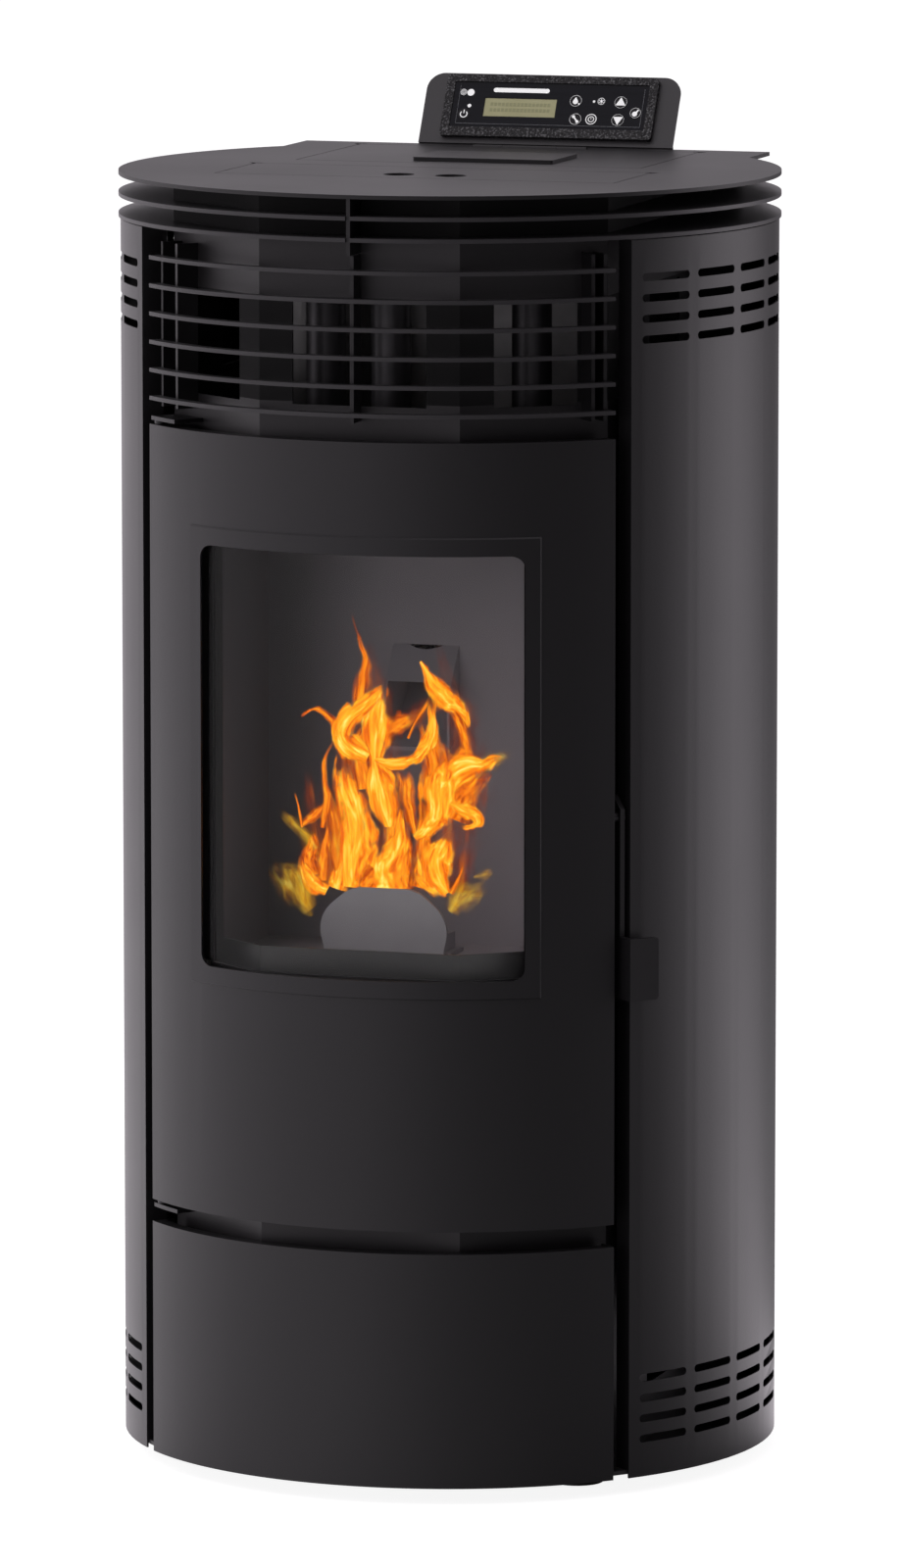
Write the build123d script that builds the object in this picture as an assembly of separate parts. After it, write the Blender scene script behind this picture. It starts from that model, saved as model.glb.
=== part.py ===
"""Round free-standing pellet stove: every piece is its own solid in its own STEP file.

Millimetres, +Z up, the front of the stove looks along -Y.  Pieces are drawn about the
upright axis of the round cladding; place() then moves them so that the origin lies under
the middle of the whole stove, on the floor.  Angles go from the front to the stove's
right-hand side as it is seen (+X).
"""
from build123d import *
import os
from math import asin, atan, cos, degrees, radians, sin, tan

# ---------------------------------------------------------------- round cladding
CLAD_R = 250.0            # outside radius of the side panels, door and lower panel
CLAD_SHEET = 1.5          # their sheet steel
CLAD_BOTTOM = 12.0        # lower edge of the cladding above the floor
SIDE_TOP_GAP = 1.0        # side panels end this far under the lowest disc
REAR_HALF_W = 187.0       # half width of the flat-sided rear box
REAR_Y = 222.0            # back of the rear box, behind the axis
PANEL_RETURN = 17.0       # folded return along the front edge of a side panel
REAR_FLANGE = 13.0        # folded flange along the rear edge of a side panel

# ---------------------------------------------------------------- crown of three discs
DISC_OVERHANG = 1.5
DISC_T = 3.0
DISC_PITCH = 16.0
TOP_Z = 981.0             # upper face of the top plate
TOP_REAR_LAP = 2.0        # the discs reach this far past the rear box
FIN_T = 3.0
FIN_SLOT_PLAY = 0.2
FIN_DROP = 10.0           # the front fin hangs this far below the lowest disc
SPACER_W = 22.0
SPACER_GAP = 4.0
SPACER_ANGLES = (100.0, 120.0)

# ---------------------------------------------------------------- fire door and lower panel
DOOR_HALF = 46.9          # half the angle that the door covers
SIDE_GAP = 13.6           # upright gap between the door and a side panel
DOOR_Z0 = 207.0
DOOR_Z1 = 798.0
DOOR_SKIN = 2.0
DOOR_FLANGE = 9.5
LOWER_TOP = 190.0
WIN_HALF = 127.0          # half width of the window opening
WIN_Z0 = 396.0
WIN_Z1 = 714.0
WIN_CORNER = 10.0
TRIM_SIDE = 10.0          # the raised trim reaches this far past the window
TRIM_END = 14.0
TRIM_T = 1.5
TRIM_BEVEL = 1.2
GLASS_T = 4.0
GLASS_LAP = 6.0
TAPE_T = 0.8
SEAL_T = 3.4
SEAL_W = 11.0
SEAL_HALF_W = 136.0
SEAL_BELOW = 19.0         # the rope clears the fire aperture by these
SEAL_ABOVE = 3.0
TRAY_T = 2.0              # sheet of the tray behind the door skin
TRAY_HALF_W = 142.0
TRAY_MARGIN_Z = 20.0
CLIP_W = 10.0
HINGE_ANGLE = -45.5
HINGE_INSET = 7.0         # hinge pins behind the face of the cladding
HINGE_PIN_R = 3.0
HINGE_TAB_END = -38.5
HINGE_TAB_T = 3.0
HINGE_EAR_INSET = 22.0
HINGE_WASHER_R = 5.0
HINGE_PIN_REACH = 12.0    # the pins reach this far into the door
DOOR_TAB_GAP = 3.0

# ---------------------------------------------------------------- door handle
LEVER_ANGLE = 48.8
LEVER_T = 4.0
LEVER_BACK = 14.0         # inner and outer edges of the lever behind the cladding
LEVER_FRONT = 2.5
LEVER_OVER_PIVOT = 16.0
LEVER_CHAMFER = 10.0
GRIP_Z0 = 377.0
GRIP_Z1 = 424.0
GRIP_PROUD = 12.0
GRIP_W = 23.0
GRIP_CORNER = 3.0
PIVOT_INSET = 8.0
PIVOT_Z = 514.0
PIVOT_PIN_R = 2.5
PIVOT_REACH = 12.5        # from the middle of the lever to inside the door's edge flange
PIVOT_COLLAR = 7.4
CATCH_Z = 452.0
CATCH_ROLLER_R = 2.5
CATCH_PLAY = 0.5

# ---------------------------------------------------------------- inner frame
FACET_HALF = 78.0         # half width of the middle facet of the inner frame
FACET_INSET = 27.0        # each facet stands this far behind the cladding
FRAME_SHEET = 2.0
FRAME_SIDE_INSET = 17.0   # its walls stand this far inside the rear box
FRAME_REAR_GAP = 11.0
WALL_WINDOWS = ((60.0, 160.0), (830.0, 900.0))
WALL_WINDOW_HALF = 40.0
BASE_T = 3.0
BASE_LIFT = 3.0
FOOT_R = 20.0
FOOT_STUD_R = 4.0
FOOT_X = 140.0
FOOT_FRONT_Y = -125.0
FOOT_REAR_Y = 180.0
VENT_Z0 = 822.0           # warm-air openings behind the grille
VENT_Z1 = 899.0
VENT_HALF_W = 52.0
VENT_SIDE_START = 27.0
VENT_SIDE_END = 94.0

# ---------------------------------------------------------------- grille
SLAT_COUNT = 6
SLAT_BELOW_DISC = 21.2
SLAT_T = 3.0
SLAT_DEPTH = 9.0
RIB_ANGLES = (-46.0, -40.5, 0.0, 43.6, 46.0)
RIB_T = 3.0
RIB_OVER_HINGE = 7.0      # the ribs end this far over the hinge tab
RIB_BELOW_SLAT = 8.05     # and this far under the top of the lowest slat

# ---------------------------------------------------------------- side panel slots
SLOT_LENGTH = 46.5
SLOT_HEIGHT = 6.0
SLOT_FIRST = 57.6         # angle of the middle of the first column
SLOT_STEP = 12.8
SLOT_COLUMNS = 5
SLOT_ROWS = 4
SLOT_ROW_PITCH = 15.5
SLOT_TOP_Z = 917.0
SLOT_LOW_Z = 87.5

# ---------------------------------------------------------------- fire chamber
FIREBOX_WALL = 4.0
FIREBOX_HALF_W = 130.0
FIREBOX_BACK = -60.0      # inside face of the back wall
FIREBOX_Z0 = 212.0
FIREBOX_Z1 = 765.0
GRATE_Z = 396.0
MOUTH_HALF_W = 118.0
MOUTH_Z0 = 414.0
MOUTH_Z1 = 735.0
DRAWER_MOUTH_HALF_W = 116.0
DRAWER_MOUTH_TOP = 366.0
TUBE_R = 15.0
TUBE_WALL = 2.0
TUBE_STEP = 51.0
TUBE_INSET = 77.0         # exchanger tubes behind the middle facet
TUBE_OUTER_INSET = 103.0
SMOKE_Z0 = 903.0
SMOKE_Z1 = 960.0
SMOKE_BACK = -22.0
SMOKE_SHEET = 2.0
SMOKE_FRONT_GAP = 1.0
DUCT_X0 = -128.0
DUCT_X1 = -68.0
DUCT_Z0 = 112.0
DUCT_TURN_Z = 190.0

# ---------------------------------------------------------------- burn pot, igniter, ash drawer
POT_INSET = 60.0          # front of the pot behind the middle facet
POT_DEPTH = 65.0
POT_HALF_W = 35.0
POT_Z0 = 348.0
POT_Z1 = 412.0
POT_WALL = 3.0
POT_RIM = 5.0
POT_PLAY = 0.8
SHIELD_T = 3.0
SHIELD_HALF_TOP = 26.0
SHIELD_HALF_MID = 52.5
SHIELD_HALF_LOW = 45.0
SHIELD_TOP = 452.5
SHIELD_MID = 430.0
SHIELD_CORNER = 26.0
POT_LIFT = 60.0
IGNITER_R = 5.0
IGNITER_Z = 370.0
IGNITER_LENGTH = 100.0
DRAWER_HALF_W = 114.0
DRAWER_SET_BACK = 1.8     # drawer front behind the frame sheet
DRAWER_BACK_Y = -75.0
DRAWER_TOP = 340.0
DRAWER_WALL = 1.5
DRAWER_TRAVEL = 27.0
DRAWER_PULL_HALF = 40.0
DRAWER_PULL_OUT = 14.0
DRAWER_PULL_Z = 300.0
DRAWER_PULL_H = 8.0
DRAWER_PULL_BAR = 4.5
RUNNER_PLAY = 0.3

# ---------------------------------------------------------------- pellet feed
HOPPER_HALF_W = 128.0
HOPPER_Y0 = 52.0
HOPPER_Y1 = 190.0
HOPPER_SHEET = 1.5
HOPPER_FLANGE = 14.0
HOPPER_SLOPE_Z = 760.0
SPOUT_HALF_W = 22.0
SPOUT_Y0 = 56.0
SPOUT_Y1 = 100.0
SPOUT_Z = 596.0
AUGER_TILT = 40.0         # the auger climbs forwards at this angle
AUGER_TOP_Y = -46.0
AUGER_TOP_Z = 640.0
AUGER_LENGTH = 186.0
AUGER_TUBE_R = 27.0
AUGER_TUBE_WALL = 2.0
AUGER_FLIGHT_R = 23.0
AUGER_CORE_R = 7.0
AUGER_PITCH = 38.0
AUGER_SHAFT_R = 6.0
AUGER_BUSH_L = 7.0
AUGER_MOTOR_L = 62.0
AUGER_MOTOR_W = 64.0
CHUTE_HALF_W = 24.0
CHUTE_NOSE = 24.0
SHAFT_PLAY = 0.05

# ---------------------------------------------------------------- smoke fan and flue
FAN_X = -92.0
FAN_Z = 150.0
FAN_Y0 = 92.0
FAN_DEPTH = 50.0
FAN_R = 68.0
FAN_SHEET = 2.0
IMPELLER_R = 55.0
IMPELLER_BLADES = 12
FAN_MOTOR_R = 36.0
FAN_MOTOR_L = 62.0
FAN_SHAFT_R = 4.0
FLUE_X = 0.0
FLUE_Z = 120.0
FLUE_R = 40.0
FLUE_WALL = 1.5
PIPE_STEP = 0.5           # the pipes are this much slimmer inside the stove
FLUE_REACH = 50.0
AIR_X = 95.0
AIR_Z = 300.0
AIR_R = 25.0
AIR_WALL = 1.5
AIR_REACH = 40.0

# ---------------------------------------------------------------- room-air blower
BLOWER_Y = -135.0
BLOWER_Z = 88.0
BLOWER_HALF_L = 92.0
BLOWER_BOX_HALF = 44.0
BLOWER_TOP = 150.0
BLOWER_SHEET = 1.5
ROTOR_R = 30.0
ROTOR_BLADES = 16
BLOWER_SHAFT_R = 4.0
BLOWER_MOTOR_R = 26.0
BLOWER_MOTOR_L = 46.0

# ---------------------------------------------------------------- lids
COVER_HALF_W = 156.5
COVER_Y0 = -92.0
COVER_Y1 = 5.0
LID_HALF_W = 137.0
LID_Y0 = 45.0
LID_Y1 = 203.0
LID_HINGE_BACK = 3.5      # the hopper lid's hinge line behind its rear edge
LID_HINGE_DOWN = 1.0
LID_SEAM = 0.9
LID_SEAT = 0.3
LEDGE_W = 8.0
LEDGE_T = 3.0
LIP_T = 1.5
LIP_DEPTH = 9.0
LIP_INSET = 1.6
FINGER_R = 11.8
FINGER_X = 20.5
FINGER_Y = -63.0
COVER_LIFT = 60.0
KNUCKLE_R = 2.6
LID_PIN_R = 1.2
KNUCKLE_MID = 22.0
KNUCKLE_END = 46.0
GRIP_PLATE_X = 7.0
GRIP_PLATE_HALF = 56.0
GRIP_PLATE_Y0 = 60.0
GRIP_PLATE_Y1 = 126.0
GRIP_PLATE_T = 3.0

# ---------------------------------------------------------------- control panel
PANEL_X = 7.0             # the bracket stands this far to the right of the middle
PANEL_Y = 222.0
PANEL_LEAN = 29.0
PANEL_HALF_W = 103.3
PANEL_SLANT = 61.0
PANEL_CORNER = 14.0
PANEL_SHEET = 2.0
PANEL_LEG = 30.0
BEZEL_HALF_W = 86.0
BEZEL_V0 = 6.0
BEZEL_V1 = 58.5
BEZEL_PROUD = 4.0
BEZEL_CORNER = 3.0
BACK_BOX_D = 16.0
BACK_BOX_INSET = 6.0
FACE_HALF_W = 79.0
FACE_V0 = 13.9
FACE_V1 = 52.2
FACE_T = 2.0
FACE_SINK = 0.8
LCD_X0 = -53.2
LCD_X1 = 5.4
LCD_V0 = 23.3
LCD_V1 = 39.1
LCD_FIT = 0.2
KEY_R = 5.0
KEY_PLAY = 0.15
KEY_T = 1.6
KEY_PROUD = 0.3
KEY_TRAVEL = 0.5
KEYS = {"key_power": (-68.7, 24.8), "key_flame": (20.8, 38.0), "key_settings": (22.6, 22.4),
        "key_clock": (35.4, 22.6), "key_up": (57.4, 37.6), "key_down": (57.0, 22.5),
        "key_load": (70.4, 28.8)}

# ---------------------------------------------------------------- electrics
INLET_X = 120.0
INLET_Z = 150.0
INLET_W = 48.0
INLET_H = 56.0
INLET_D = 26.0
INLET_LIP = 3.0
INLET_LIP_T = 2.0
SOCKET_W = 24.0
SOCKET_H = 16.5
SOCKET_D = 17.0
ROCKER_W = 19.0
ROCKER_H = 13.0
ROCKER_RISE = 17.0
ROCKER_TILT = 9.0
BOARD_W = 110.0
BOARD_H = 170.0
BOARD_D = 24.0
BOARD_Y = 80.0
BOARD_Z = 330.0

# ---------------------------------------------------------------- fastenings
SCREW_R = 2.0
SCREW_HEAD_R = 4.0
SCREW_HEAD_T = 2.4
SCREW_SLOT = 0.6
SCREW_HOLE_PLAY = 0.1
SCREW_LEVELS = (70.0, 360.0, 650.0, 910.0)
LOUVRE_W = 70.0
LOUVRE_H = 5.0
LOUVRE_PITCH = 16.0
LOUVRE_ROWS = 7
SEAT = 0.3                # running room between curved or sliding faces at rest

# ---------------------------------------------------------------- worked out from the above
HINGE_R = CLAD_R - HINGE_INSET
HINGE_EAR_R = CLAD_R - HINGE_EAR_INSET
LEVER_R0 = CLAD_R - LEVER_BACK
LEVER_R1 = CLAD_R - LEVER_FRONT
LEVER_TOP = PIVOT_Z + LEVER_OVER_PIVOT
GRIP_R = CLAD_R + GRIP_PROUD
PIVOT_R = CLAD_R - PIVOT_INSET
FACET_Y = CLAD_R - FACET_INSET
FRAME_HALF_W = REAR_HALF_W - FRAME_SIDE_INSET
SLAT_R0 = CLAD_R - SLAT_DEPTH
TUBE_Y = TUBE_INSET - FACET_Y
TUBE_OUTER_Y = TUBE_OUTER_INSET - FACET_Y
POT_FRONT_Y = POT_INSET - FACET_Y
POT_BACK_Y = POT_FRONT_Y + POT_DEPTH
DISC_R = CLAD_R + DISC_OVERHANG
DISC_TOPS = [TOP_Z - i * DISC_PITCH for i in range(3)]
DISC_BOTTOM = DISC_TOPS[2] - DISC_T
SIDE_TOP = DISC_BOTTOM - SIDE_TOP_GAP
RIB_Z0 = DOOR_Z1 + DOOR_TAB_GAP + HINGE_TAB_T + RIB_OVER_HINGE
SLAT_TOP = DISC_BOTTOM - SLAT_BELOW_DISC
SLAT_PITCH = (SLAT_TOP - RIB_Z0 - RIB_BELOW_SLAT) / (SLAT_COUNT - 1)
PLATE_UNDER = TOP_Z - DISC_T
SIDE_START = DOOR_HALF + degrees(SIDE_GAP / CLAD_R)
TURN = 2 * atan(FACET_HALF / FACET_Y)     # angle between neighbouring facets
REAR_OUT = REAR_Y + TOP_REAR_LAP
BASE_Z0 = CLAD_BOTTOM + BASE_LIFT
BASE_Z1 = BASE_Z0 + BASE_T
BACK_OUT = FIREBOX_BACK + FIREBOX_WALL
SKIN_IN = CLAD_R - DOOR_SKIN
GLASS_R1 = SKIN_IN - TAPE_T - 0.2
GLASS_R0 = GLASS_R1 - GLASS_T
TRAY_IN = SEAT + SEAL_T
TRAY_OUT = TRAY_IN + TRAY_T
REACH_Y = REAR_Y + FLUE_REACH
AXIS_Y = (DISC_R - REACH_Y) / 2
FAN_Y1 = FAN_Y0 + FAN_DEPTH
REAR_PANEL_Y = REAR_Y - 2 * CLAD_SHEET - SEAT
WALL_IN = FRAME_HALF_W - FRAME_SHEET
WALL_REAR = REAR_Y - FRAME_REAR_GAP
LID_AXIS_Y = LID_Y1 + LID_HINGE_BACK
LID_AXIS_Z = TOP_Z - LID_HINGE_DOWN
KNUCKLE_BACK = LID_AXIS_Y + KNUCKLE_R + LID_SEAM


# ================================================================ drawing helpers
def polar(radius, angle, z=0.0):
    """Point at a radius and an angle measured from the front towards +X."""
    return (radius * sin(radians(angle)), -radius * cos(radians(angle)), z)


def box(x0, x1, y0, y1, z0, z1):
    """Block between two corners."""
    middle = Pos((x0 + x1) / 2, (y0 + y1) / 2, (z0 + z1) / 2)
    return middle * Box(x1 - x0, y1 - y0, z1 - z0)


def prism(points, z0, z1):
    """Upright prism on a closed plan outline."""
    return Pos(0, 0, z0) * extrude(Polygon(*points, align=None), z1 - z0, dir=(0, 0, 1))


def side_prism(points, x0, x1):
    """Prism along X on an outline given as (y, z)."""
    plane = Plane(origin=(x0, 0, 0), x_dir=(0, 1, 0), z_dir=(1, 0, 0))
    return extrude(plane * Polygon(*points, align=None), x1 - x0, dir=(1, 0, 0))


def sector(r0, r1, a0, a1, z0, z1):
    """Curved wall between two radii and two angles."""
    middle = (a0 + a1) / 2
    outer = ThreePointArc(polar(r1, a0), polar(r1, middle), polar(r1, a1))
    inner = ThreePointArc(polar(r0, a1), polar(r0, middle), polar(r0, a0))
    outline = Wire([outer, Line(outer @ 1, inner @ 0), inner, Line(inner @ 1, outer @ 0)])
    return Pos(0, 0, z0) * extrude(Face(outline), z1 - z0, dir=(0, 0, 1))


def rod_y(x, z, radius, y0, y1):
    """Round bar along Y."""
    plane = Plane(origin=(x, y0, z), x_dir=(1, 0, 0), z_dir=(0, 1, 0))
    return extrude(plane * Circle(radius), y1 - y0)


def rod_x(y, z, radius, x0, x1):
    """Round bar along X."""
    plane = Plane(origin=(x0, y, z), x_dir=(0, 1, 0), z_dir=(1, 0, 0))
    return extrude(plane * Circle(radius), x1 - x0)


def rod_z(x, y, radius, z0, z1):
    """Round bar along Z."""
    return Pos(x, y, z0) * extrude(Circle(radius), z1 - z0)


def facet_y(offset, x):
    """Y of the faceted front, moved out by offset, at a given x."""
    apothem = FACET_Y + offset
    crease = apothem * tan(TURN / 2)
    if abs(x) <= crease:
        return -apothem
    return (abs(x) * sin(TURN) - apothem) / cos(TURN)


def facet_line(offset, half_w):
    """Plan points of the faceted front from left to right, cut at plus and minus half_w."""
    crease = (FACET_Y + offset) * tan(TURN / 2)
    inner = [x for x in (-crease, crease) if abs(x) < half_w]
    return [(x, facet_y(offset, x)) for x in [-half_w] + inner + [half_w]]


def facet_band(offset0, offset1, half_w, z0, z1):
    """Folded sheet that follows the three facets."""
    return prism(facet_line(offset1, half_w) + facet_line(offset0, half_w)[::-1], z0, z1)


def behind_facets(offset, half_w, back_y, z0, z1):
    """Solid block from the faceted front back to back_y."""
    return prism(facet_line(offset, half_w) + [(half_w, back_y), (-half_w, back_y)], z0, z1)


def facet_plane(side, u, z, offset=0.0):
    """Plane lying on a side facet, u along it from the crease; z_dir points outwards."""
    crease = (FACET_Y + offset) * tan(TURN / 2)
    x = side * (crease + u * cos(TURN))
    y = -(FACET_Y + offset) + u * sin(TURN)
    return Plane(origin=(x, y, z), x_dir=(cos(TURN), side * sin(TURN), 0),
                 z_dir=(side * sin(TURN), -cos(TURN), 0))


def radial_plane(angle):
    """Upright plane through the axis: sketch x is the radius, sketch y is the height."""
    a = radians(angle)
    return Plane(origin=(0, 0, 0), x_dir=(sin(a), -cos(a), 0), z_dir=(-cos(a), -sin(a), 0))


def rounded_window(half_w, z0, z1, corner, y0, y1):
    """Rounded opening seen from the front, cut straight back."""
    plane = Plane(origin=(0, y0, (z0 + z1) / 2), x_dir=(1, 0, 0), z_dir=(0, -1, 0))
    return extrude(plane * RectangleRounded(2 * half_w, z1 - z0, corner), y0 - y1)


def clad_outline(radius, half_w, back_y, z0, z1):
    """Round body with its flat-sided rear box, as a solid block."""
    body = rod_z(0, 0, radius, z0, z1) + box(-half_w, half_w, 0, back_y, z0, z1)
    return body - box(-radius, radius, back_y, back_y + radius, z0, z1)


def group(solids):
    """Several separate solids under one name."""
    return Compound([solid for shape in solids for solid in shape.solids()])


# ================================================================ base and feet
def base_plate():
    plate = clad_outline(CLAD_R - CLAD_SHEET - SEAT, REAR_HALF_W - CLAD_SHEET - SEAT,
                         REAR_PANEL_Y - SEAT, BASE_Z0, BASE_Z1)
    for x, y in foot_places():
        plate -= rod_z(x, y, FOOT_STUD_R + SCREW_HOLE_PLAY, BASE_Z0, BASE_Z1)
    inlet = box(-BLOWER_HALF_L + 14, BLOWER_HALF_L - 14, BLOWER_Y - 26, BLOWER_Y + 26, BASE_Z0, BASE_Z1)
    return plate - inlet


def foot_places():
    return [(side * FOOT_X, y) for side in (-1, 1) for y in (FOOT_FRONT_Y, FOOT_REAR_Y)]


def rubber_feet():
    feet = []
    for x, y in foot_places():
        pad = Pos(x, y, BASE_Z0 / 2) * Cone(FOOT_R, FOOT_R * 0.82, BASE_Z0)
        feet.append(pad + rod_z(x, y, FOOT_STUD_R, BASE_Z0 - 1, BASE_Z1 + 8))
    return group(feet)


# ================================================================ inner frame
def front_frame():
    sheet = facet_band(-FRAME_SHEET, 0, FRAME_HALF_W, BASE_Z1, PLATE_UNDER)
    reach = FACET_Y + 20
    sheet -= box(-MOUTH_HALF_W, MOUTH_HALF_W, -reach, -FACET_HALF, MOUTH_Z0, MOUTH_Z1)
    sheet -= box(-DRAWER_MOUTH_HALF_W, DRAWER_MOUTH_HALF_W, -reach, -FACET_HALF,
                 FIREBOX_Z0 + FIREBOX_WALL, DRAWER_MOUTH_TOP)
    sheet -= box(-VENT_HALF_W, VENT_HALF_W, -reach, -FACET_Y + 20, VENT_Z0, VENT_Z1)
    length = VENT_SIDE_END - VENT_SIDE_START
    for side in (-1, 1):
        plane = facet_plane(side, (VENT_SIDE_START + VENT_SIDE_END) / 2, (VENT_Z0 + VENT_Z1) / 2)
        sheet -= extrude(plane * Rectangle(length, VENT_Z1 - VENT_Z0), 8, both=True)
    return sheet


def frame_walls():
    walls = []
    fronts = [(x, facet_y(-FRAME_SHEET, x)) for x in (WALL_IN, FRAME_HALF_W)]
    for side in (-1, 1):
        plan = [(side * x, y) for x, y in fronts + [(FRAME_HALF_W, WALL_REAR), (WALL_IN, WALL_REAR)]]
        wall = prism(plan, BASE_Z1, PLATE_UNDER)
        for z0, z1 in WALL_WINDOWS:
            wall -= box(-CLAD_R, CLAD_R, -WALL_WINDOW_HALF, WALL_WINDOW_HALF, z0, z1)
        walls.append(wall)
    return group(walls)


# ================================================================ crown: top plate, discs, fins
def disc(z_top):
    return clad_outline(DISC_R, REAR_HALF_W + DISC_OVERHANG, REAR_OUT, z_top - DISC_T, z_top)


def lid_ledge(half_w, y0, y1, z0, z1):
    """Frame welded under an opening of the top plate to carry its lid."""
    outer = box(-half_w - LEDGE_W, half_w + LEDGE_W, y0 - LEDGE_W, y1 + LEDGE_W / 2, z0, z1)
    return outer - box(-half_w + LEDGE_W, half_w - LEDGE_W, y0 + LEDGE_W, y1 - 2 * LEDGE_W, z0, z1)


def top_plate():
    plate = disc(TOP_Z)
    plate -= box(-COVER_HALF_W - LID_SEAM, COVER_HALF_W + LID_SEAM,
                 COVER_Y0 - LID_SEAM, COVER_Y1 + LID_SEAM, PLATE_UNDER, TOP_Z)
    plate -= box(-LID_HALF_W - LID_SEAM, LID_HALF_W + LID_SEAM,
                 LID_Y0 - LID_SEAM, LID_Y1 + LID_SEAM, PLATE_UNDER, TOP_Z)
    plate += lid_ledge(COVER_HALF_W, COVER_Y0, COVER_Y1 + LEDGE_W / 2, PLATE_UNDER - LEDGE_T, PLATE_UNDER)
    plate += lid_ledge(LID_HALF_W, LID_Y0, LID_Y1 + LEDGE_W / 2, PLATE_UNDER - LEDGE_T, PLATE_UNDER)
    for side in (-1, 1):
        for half_w, y in ((COVER_HALF_W, COVER_Y1), (LID_HALF_W, LID_Y1)):
            plate -= relief_notch(side * (half_w + LID_SEAM), y)
    return plate - box(-KNUCKLE_END - SEAT, KNUCKLE_END + SEAT, LID_Y1, KNUCKLE_BACK,
                       PLATE_UNDER - LEDGE_T, TOP_Z)


def relief_notch(x, y):
    """Small bend-relief notch at a rear corner of a lid opening."""
    return prism([(x - 6, y + 3), (x + 6, y + 3), (x, y - 5)], PLATE_UNDER, TOP_Z)


def fin_slot(z0, z1):
    half = FIN_T / 2 + FIN_SLOT_PLAY
    return box(-half, half, -DISC_R - 1, -FACET_Y - SEAT, z0, z1)


def crown_discs():
    plates = []
    for z_top in DISC_TOPS[1:]:
        z0 = z_top - DISC_T
        inside = behind_facets(SEAT, FRAME_HALF_W + SEAT, WALL_REAR + SEAT, z0, z_top)
        plates.append(disc(z_top) - inside - fin_slot(z0, z_top))
    return group(plates)


def crown_fins():
    """The front fin, and small webs between the discs at the sides."""
    fins = [box(-FIN_T / 2, FIN_T / 2, -CLAD_R + 0.5, -FACET_Y - SEAT, DISC_BOTTOM - FIN_DROP, PLATE_UNDER)]
    height = DISC_PITCH - DISC_T
    for z_top in DISC_TOPS[1:]:
        for angle in [side * a for a in SPACER_ANGLES for side in (-1, 1)]:
            middle = (FRAME_HALF_W + SPACER_GAP) / abs(sin(radians(angle))) + SPACER_W / 2
            web = Pos(middle, z_top + height / 2) * Rectangle(SPACER_W, height)
            fins.append(extrude(radial_plane(angle) * web, FIN_T / 2, both=True))
    return group(fins)


# ================================================================ grille
def grille_slats():
    slats = []
    for row in range(SLAT_COUNT):
        z_top = SLAT_TOP - row * SLAT_PITCH
        slats.append(sector(SLAT_R0, CLAD_R, -DOOR_HALF, DOOR_HALF, z_top - SLAT_T, z_top))
    return group(slats)


def grille_ribs():
    ribs = []
    for angle in RIB_ANGLES:
        web = sector(FACET_HALF, SLAT_R0, angle - degrees(RIB_T / 2 / SLAT_R0),
                     angle + degrees(RIB_T / 2 / SLAT_R0), RIB_Z0, DISC_BOTTOM - FIN_DROP - 1)
        ribs.append(web - behind_facets(0, CLAD_R, 0, RIB_Z0, DISC_BOTTOM))
    return group(ribs)


# ================================================================ side, rear and lower panels
def slot_cutters(side, top_z):
    """One block of ventilation slots, cut radially."""
    for row in range(SLOT_ROWS):
        for column in range(SLOT_COLUMNS):
            angle = side * (SLOT_FIRST + column * SLOT_STEP)
            a = radians(angle)
            centre = polar(CLAD_R, angle, top_z - row * SLOT_ROW_PITCH)
            plane = Plane(origin=centre, x_dir=(cos(a), sin(a), 0), z_dir=(sin(a), -cos(a), 0))
            yield extrude(plane * SlotOverall(SLOT_LENGTH, SLOT_HEIGHT), 9, both=True)


def side_panel(side):
    inner_r = CLAD_R - CLAD_SHEET
    inner_w = REAR_HALF_W - CLAD_SHEET
    shell = clad_outline(CLAD_R, REAR_HALF_W, REAR_Y, CLAD_BOTTOM, SIDE_TOP)
    shell -= clad_outline(inner_r, inner_w, REAR_Y + 1, CLAD_BOTTOM, SIDE_TOP)
    far = 2 * CLAD_R
    a = radians(SIDE_START)
    wedge = [(0, 0), (far * sin(a), -far * cos(a)), (-far, -far), (-far, far), (0, far)]
    if side < 0:
        wedge = [(-x, y) for x, y in wedge][::-1]
    shell -= prism(wedge, CLAD_BOTTOM, SIDE_TOP)
    sheet_angle = degrees(CLAD_SHEET / CLAD_R)
    a0, a1 = sorted((side * SIDE_START, side * (SIDE_START + sheet_angle)))
    shell += sector(CLAD_R - PANEL_RETURN, inner_r + 0.5, a0, a1, BASE_Z1, SIDE_TOP)
    x0, x1 = sorted((side * (inner_w - REAR_FLANGE), side * (inner_w + 0.5)))
    shell += box(x0, x1, REAR_Y - CLAD_SHEET, REAR_Y, CLAD_BOTTOM, SIDE_TOP)
    shell -= group([*slot_cutters(side, SLOT_TOP_Z), *slot_cutters(side, SLOT_LOW_Z)])
    for x, z in screw_places():
        if x * side > 0:
            shell -= rod_y(x, z, SCREW_R + SCREW_HOLE_PLAY, REAR_Y - 5, REAR_Y + 1)
    return shell


def screw_places():
    x = REAR_HALF_W - CLAD_SHEET - REAR_FLANGE / 2
    return [(side * x, z) for side in (-1, 1) for z in SCREW_LEVELS]


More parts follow.
